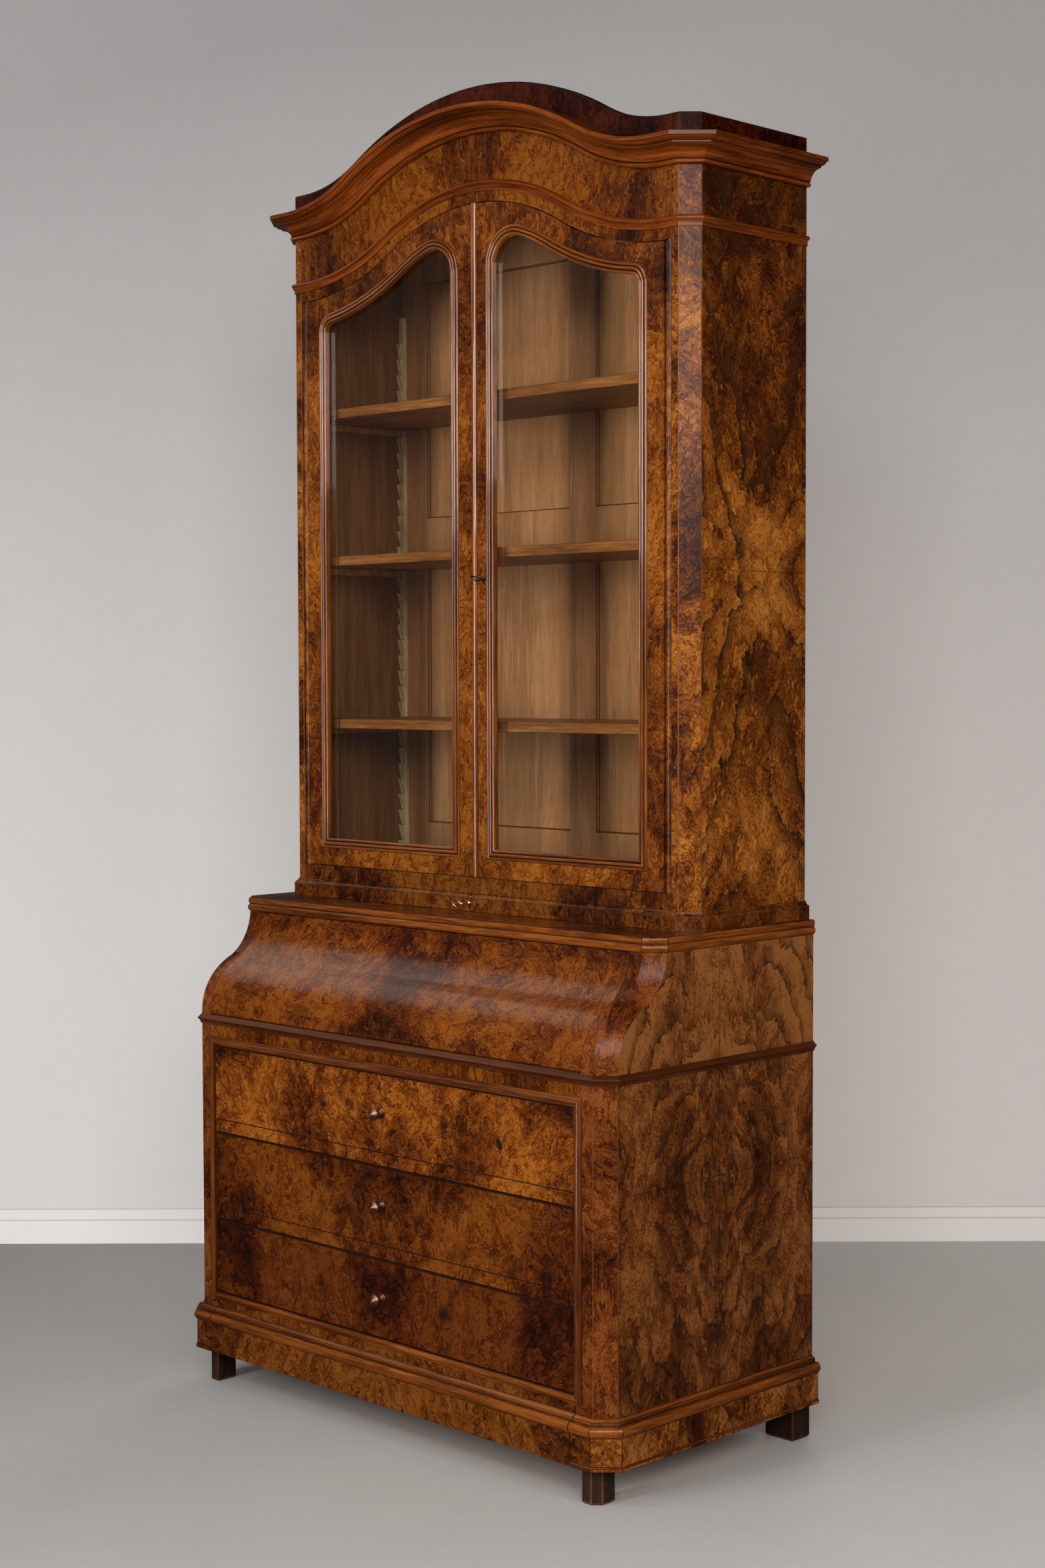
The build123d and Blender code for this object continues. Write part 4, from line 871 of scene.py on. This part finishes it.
def pane_line(outer=0.038, inner=0.070):
    """Outline x + zj of the right-hand pane, anticlockwise from its lower left corner.

    outer and inner are the radii of its upper corners.
    """
    left, right = meeting_stile, arch_half - hanging_stile
    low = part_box("door_right")[0].z + pane_margin
    level = shoulder - pane_margin
    crown, hollow = radii_at(level)
    crown_centre = complex(0.0, level + arch_rise - crown)
    hollow_centre = complex(arch_half, level + hollow)
    drop = sqrt((hollow + outer) ** 2 - (arch_half - right + outer) ** 2)
    outer_centre = complex(right - outer, hollow_centre.imag - drop)
    climb = sqrt((crown - inner) ** 2 - (left + inner) ** 2)
    inner_centre = complex(left + inner, crown_centre.imag + climb)
    meet, stop = hollow_centre - outer_centre, phase(inner_centre - crown_centre)
    corner = swept(outer_centre, outer, 0.0, phase(meet), 10)
    flank = swept(hollow_centre, hollow, phase(-meet), -pi / 2 - arch_turn, 24)[1:]
    top = swept(crown_centre, crown, pi / 2 - arch_turn, stop, 24)[1:]
    bend = swept(inner_centre, inner, stop, pi, 12)[1:]
    return [complex(left, low), complex(right, low)] + corner + flank + top + bend


right_pane = pane_line()
left_pane = [-point.conjugate() for point in reversed(right_pane)]
for side, line in (("right", right_pane), ("left", left_pane)):
    points = [(point.real, book_front, point.imag) for point in [*line, line[0]]]
    run_moulding(f"glazing_{side}", points, [OUT] * len(points), reed_section, bead_wood, closed=True)

low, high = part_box("drawer_frame")
opening, head = high.x - frame_width, high.z - frame_width
frame_points = [(opening, front_y, low.z), (opening, front_y, head), (-opening, front_y, head),
                (-opening, front_y, low.z)]
run_moulding("drawer_frame", frame_points, [OUT] * 4, frame_section[::-1], frame_wood)
low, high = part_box("astragal")
astragal_section = [(13, 0), *bow((13, 0), (6.5, 6), (0, 0), 16)]
astragal_points = [(low.x, book_front, z) for z in (low.z, high.z)]
run_moulding("astragal", astragal_points, [OUT] * 2, astragal_section, bead_wood)
print("reed points:", len(right_pane), "frame: 1, astragal: 1")

# %% [markdown]
# ## Turned knobs
# The knobs are turned: a stepped back plate, a thin neck and a domed head cut with rings.
# A turned piece is one outline swept round its axis, so each knob is a lathe of the same list of radii.

# %% Turned pieces
METAL_CORNER = radians(38)


def tube_faces(rows, around, closed=False):
    """Faces between rings of points; closed joins the last ring to the first."""
    faces = []
    for row in range(rows if closed else rows - 1):
        here, there = row * around, (row + 1) % rows * around
        for n in range(around):
            after = (n + 1) % around
            faces.append((here + n, here + after, there + after, there + n))
    return faces


def swung(outline, steps=56):
    """Points and faces of (radius, reach) in millimetres, swept round an axis that leaves the front."""
    turns = [2 * pi * n / steps for n in range(steps)]
    points = [Vector((radius * cos(turn), -reach, radius * sin(turn)))
              for radius, reach in outline for turn in turns]
    faces = tube_faces(len(outline), steps)
    faces.append(tuple(range(len(points) - steps, len(points))))
    return points, faces


def drawn(name, points, faces, finish):
    mesh = bpy.data.meshes.new(name)
    mesh.from_pydata(points, [], faces)
    mesh.materials.append(finish)
    return mesh


def metal_piece(name, points, faces, finish, body, stands_for=None):
    """A smooth metal piece from points in metres."""
    mesh = drawn(name, points, faces, finish)
    mesh.shade_smooth()
    mesh.set_sharp_from_angle(angle=METAL_CORNER)
    piece = added(name, mesh)
    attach(piece, body)
    if stands_for:
        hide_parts(stands_for)


plate = [(9.6, 0), (10.2, 0.6), (10.2, 1.6), (9.4, 2.2), (8.2, 2.3), (7.8, 3.4), (6.2, 4.2)]
neck = [(4.9, 5.2), (4.4, 7.5), (4.5, 10.5), (5.2, 12.4), (6.8, 13.6)]
dome = [(9.2, 14.6), (11.2, 16.0), (12.2, 17.8), (12.3, 19.4), (11.7, 20.8), (10.6, 21.8)]
cut_rings = [(10.0, 22.0), (9.8, 21.6), (9.4, 21.6), (9.0, 22.6), (8.0, 23.5), (7.1, 23.8), (6.8, 23.4),
             (6.4, 23.4), (6.0, 24.4), (5.0, 25.2), (4.2, 25.4), (3.9, 25.0), (3.5, 25.0), (3.2, 26.0)]
tip = [(2.4, 26.7), (1.2, 27.0), (0.2, 27.0)]
for number in (1, 2, 3):
    node = f"drawer_{number}_knob"
    low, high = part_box(node)
    foot = Vector(((low.x + high.x) / 2, high.y, (low.z + high.z) / 2))
    points, faces = swung(plate + neck + dome + cut_rings + tip)
    points = [foot + point / 1000 for point in points]
    metal_piece(f"{node}_turned", points, faces, bronze, home[node], node)
print("knobs:", 3)

# %% [markdown]
# ## Keys and the keyhole's lining
# Each key is a turned shank with a ball collar, a bow of round wire and a small bit inside the lock.
# The bow could be cut from plate like the solid's, but wire shows the thin bright ring of the real ones.
# The drawer's keyhole has a thin brass lining, a strip that follows the edge of the hole; paint on the
# wood would show no edge from the side.

# %% Keys
SOLID_BOW = 11.0
BOW_RADIUS, BOW_WIRE = 9.4, 1.45


def wire_ring(radius, wire, steps=56, around=12):
    """Points and faces of a ring that lies level, its middle at the origin."""
    points = []
    for turn in (2 * pi * n / steps for n in range(steps)):
        for bend in (2 * pi * n / around for n in range(around)):
            reach = radius + wire * cos(bend)
            points.append(Vector((reach * cos(turn), reach * sin(turn), wire * sin(bend))))
    return points, [face[::-1] for face in tube_faces(steps, around, closed=True)]


def small_block(low, high):
    """Points and faces of a block between two corners."""
    xs, ys, zs = zip(low, high)
    points = [Vector((x, y, z)) for x in xs for y in ys for z in zs]
    return points, [(0, 1, 3, 2), (4, 6, 7, 5), (0, 4, 5, 1), (2, 3, 7, 6), (0, 2, 6, 4), (1, 5, 7, 3)]


def fine_key(node, reach, turn, finish):
    """A finer key in the place of the solid; reach is from the face of the wood to the middle of the bow."""
    low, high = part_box(node)
    face = low.y + (reach + SOLID_BOW) / 1000
    depth = (high.y - face) * 1000
    shank = [(0.2, -depth), (2.2, -depth), (2.2, 2.6)]
    shank += [(3.0, 2.9), (3.8, 4.0), (3.8, 4.6), (3.0, 5.6), (2.0, 5.9), (1.7, 6.6)]
    shank += [(radius, reach - short) for radius, short in
              ((1.6, 12.8), (2.4, 12.4), (2.7, 11.6), (2.4, 10.8), (1.5, 10.2), (1.5, 9.0))]
    points, faces = swung(shank, 32)
    ring_points, ring_faces = wire_ring(BOW_RADIUS, BOW_WIRE)
    ring = ([point - Vector((0, reach, 0)) for point in ring_points], ring_faces)
    bit = small_block((0.5, depth - 7.0, -1.5), (5.5, depth, 1.5))
    for more_points, more_faces in (ring, bit):
        faces += [tuple(corner + len(points) for corner in more) for more in more_faces]
        points = points + more_points
    about = Matrix.Rotation(radians(turn), 4, "Y")
    foot = Vector(((low.x + high.x) / 2, face, (low.z + high.z) / 2))
    points = [foot + about @ point / 1000 for point in points]
    metal_piece(f"{node}_fine", points, faces, finish, home[node], node)
    return foot


fine_key("door_key", 22.0, 28.0, iron)
drawer_lock = fine_key("drawer_key", 34.0, 45.0, steel)


def hole_edge(radius, half_width, drop, steps=24):
    """The outline x + zj of a keyhole in millimetres, round from the lower left corner."""
    start = asin(half_width / radius)
    ring = swept(0, radius, -pi / 2 - start, start - pi * 5 / 2, steps)
    return [complex(-half_width, -drop), *ring, complex(half_width, -drop)]


outer, inside = hole_edge(3.5, 3.0, 12.0), hole_edge(2.5, 2.02, 11.0)
rows = [(outer, 0.0), (outer, 0.3), (inside, 0.3), (inside, -0.8)]
points = [drawer_lock + Vector((spot.real, -proud, spot.imag)) / 1000 for line, proud in rows for spot in line]
faces = tube_faces(len(rows), len(outer))
metal_piece("keyhole_lining", points, faces, brass, home["key_drawer_front"])
print("keys: 2, linings: 1")

# %% [markdown]
# ## Floor and wall
# The photograph shows a plain grey studio: a pale floor, a wall behind the desk and a low skirting.
# A curved backdrop would lose the skirting's line, so they are flat sheets.
# The wall is clear from behind, casts no shadow and isn't reflected; the lamps alone light the desk.
# They don't reach far, so the distant floor glows a little and stays pale to the horizon.

# %% Floor, wall and skirting
LIGHT_LIMITS = {1: 0.6, 2: 1.7}
FAR = (3.0, 11.0)
WALL_AWAY, WALL_HALF = 1.36, 16.0
BOARD_THICK = 0.016


def plain_paint(name, first, second, roughness, light_fade, full):
    """Matt paint between two greys with painted light: full is its lightness at the origin and fade its change
    per metre.
    """
    material, shader, point = new_finish(name, Specular_IOR_Level=0.2)
    trowel = noise(point, 0.9, 4.0, 0.6)
    dust = noise(point, 30.0, 3.0)
    lit = point.measure("DOT_PRODUCT", light_fade) + full
    lit = lit.make("ShaderNodeClamp", inputs={0: lit, **LIGHT_LIMITS})
    plug(shader, Base_Color=mixed(trowel * 0.7 + dust * 0.3, (*first, 1.0), (*second, 1.0)) * lit)
    plug(shader, Roughness=trowel * 0.25 + roughness)
    return material


def stage_sheet(name, corners, finish):
    sheet = added(name, drawn(name, corners, [(0, 1, 2, 3)], finish))
    sheet.visible_glossy = False
    return sheet


def wall_finish(name, first, second, roughness):
    """Paint that is clear from behind, painted lighter to the right and darker upwards."""
    material = plain_paint(name, first, second, roughness, (0.06, 0.06, -0.34), 1.66)
    tree = material.node_tree
    output = tree.nodes["Material Output"].inputs["Surface"]
    front = Shade(tree, output.links[0].from_socket)
    back = front.make("ShaderNodeNewGeometry", "Backfacing")
    clear = front.make("ShaderNodeBsdfTransparent")
    tree.links.new(front.make("ShaderNodeMixShader", inputs={0: back, 1: front, 2: clear}).socket, output)
    return material


# Painted light: the floor is lighter to the right and darker to the left.
floor_paint = plain_paint("pale floor", (0.34, 0.33, 0.32), (0.44, 0.43, 0.42), 0.4,
                          (0.207, 0.071, 0.0), 1.089)
far_floor = floor_paint.node_tree.nodes["Principled BSDF"]
far_floor.inputs["Emission Strength"].default_value = 1.0
spot = Shade(floor_paint.node_tree).make("ShaderNodeTexCoord", "Object")
far = eased_step(spot.measure("LENGTH"), *FAR)
plug(far_floor, Emission_Color=mixed(far, (0.0, 0.0, 0.0, 1.0), (0.40, 0.39, 0.38, 1.0)))
stage_sheet("floor", [(-30, -30, 0), (30, -30, 0), (30, 30, 0), (-30, 30, 0)], floor_paint)

wall_paint = wall_finish("wall paint", (0.43, 0.425, 0.425), (0.49, 0.485, 0.485), 0.6)
board_paint = wall_finish("skirting paint", (0.50, 0.495, 0.495), (0.55, 0.545, 0.545), 0.5)
skirting_shade_paint = wall_finish("skirting shadow paint", (0.34, 0.335, 0.335), (0.38, 0.375, 0.375), 0.6)
view_way = Vector((-0.7049, 0.7093, 0.0))
wall_run = Vector((0.7093, 0.7049, 0.0)) * WALL_HALF
wall_foot = view_way * WALL_AWAY
board_foot = wall_foot - view_way * BOARD_THICK
# The dark groove and shadow bands are painted shade on the flat skirting.
bands = (("wall", wall_foot, 0.0, 12.0, wall_paint),
         ("skirting", board_foot, 0.0, 0.058, board_paint),
         ("skirting groove", board_foot, 0.058, 0.061, skirting_shade_paint),
         ("skirting cap", board_foot, 0.061, 0.086, board_paint),
         ("skirting shadow", board_foot, 0.086, 0.089, skirting_shade_paint))
for name, foot, low, high, paint in bands:
    foot, rise = foot + Vector((0, 0, low)), Vector((0, 0, high - low))
    corners = [foot - wall_run, foot + wall_run, foot + wall_run + rise, foot - wall_run + rise]
    stage_sheet(name, corners, paint).visible_shadow = False
print("stage sheets:", 1 + len(bands))

# %% [markdown]
# ## Lamps
# The shadow of the meeting stiles on the back shows a tall soft lamp straight in front.
# A wide one over the camera gives the sheen of the chamfers and lights the side; two on the left and one
# above draw the bright band along the fall and the edges of the top.
# One sun would leave the panes and the far sides black, so weak lamps on the right and behind fill those.

# %% Surround and lamps
world = bpy.data.worlds.new("studio")
scene.world = world
world.use_nodes = True
seen = Shade(world.node_tree).make("ShaderNodeLightPath", "Is Camera Ray")
grey = mixed(seen, (0.05, 0.049, 0.048, 1.0), (0.42, 0.41, 0.40, 1.0))
world.node_tree.links.new(grey.socket, world.node_tree.nodes["Background"].inputs["Color"])


def lamp(name, place, aim, size, power, colour=(1.0, 1.0, 1.0), mirrored=True):
    """A soft lamp of this width and height, turned to its aim; mirrored if polish shows it."""
    light = bpy.data.lights.new(name, "AREA")
    light.shape = "RECTANGLE"
    light.size, light.size_y = size
    light.energy = power
    light.color = colour
    holder = added(name, light)
    holder.location = place
    holder.visible_glossy = mirrored
    holder.rotation_euler = (Vector(aim) - Vector(place)).to_track_quat("-Z", "Y").to_euler()


lamp("front lamp", (-0.15, -4.4, 1.65), (0, 0, 1.3), (0.8, 2.0), 110)
lamp("front left lamp", (-1.1, -3.7, 3.5), (0, -0.2, 0.9), (0.9, 0.9), 30)
lamp("camera lamp", (3.9, -3.7, 3.0), (0, 0, 1.2), (3.0, 2.0), 200, (1.0, 0.95, 0.91))
lamp("left lamp", (-2.5, -0.35, 3.2), (0, -0.2, 0.9), (2.0, 1.6), 16, (1.0, 0.86, 0.77))
lamp("top lamp", (0.8, -2.2, 3.8), (0.4, -0.9, 0), (2.0, 2.0), 18)
lamp("right lamp", (4.5, -0.6, 2.4), (0.5, 0, 1.0), (2.0, 1.6), 50, (1.0, 0.97, 0.94), mirrored=False)
lamp("back lamp", (-2.2, 4.2, 3.0), (0, 0, 1.2), (2.0, 2.0), 60, mirrored=False)
scene.view_settings.view_transform = "Standard"
print("lamps:", 7)

# %% [markdown]
# ## Camera
# The photograph was taken from the right-hand front, with the camera a little over half-way up the desk.
# A camera aimed by eye would put the edges elsewhere; this one is fitted to its vanishing lines.

# %% Camera
CAMERA_PLACE = (3.2841, -3.1990, 1.4265)
LOOK_DOWN, ROLL, HEADING = 0.0458, 0.0027, 0.7821
camera = bpy.data.cameras.new("camera")
camera.lens = 54.62
camera.sensor_fit = "AUTO"
camera.sensor_width = 36.0
camera_object = added("camera", camera)
camera_object.location = CAMERA_PLACE
camera_object.rotation_euler = (pi / 2 - LOOK_DOWN, ROLL, HEADING)
scene.camera = camera_object
print("camera at", CAMERA_PLACE)
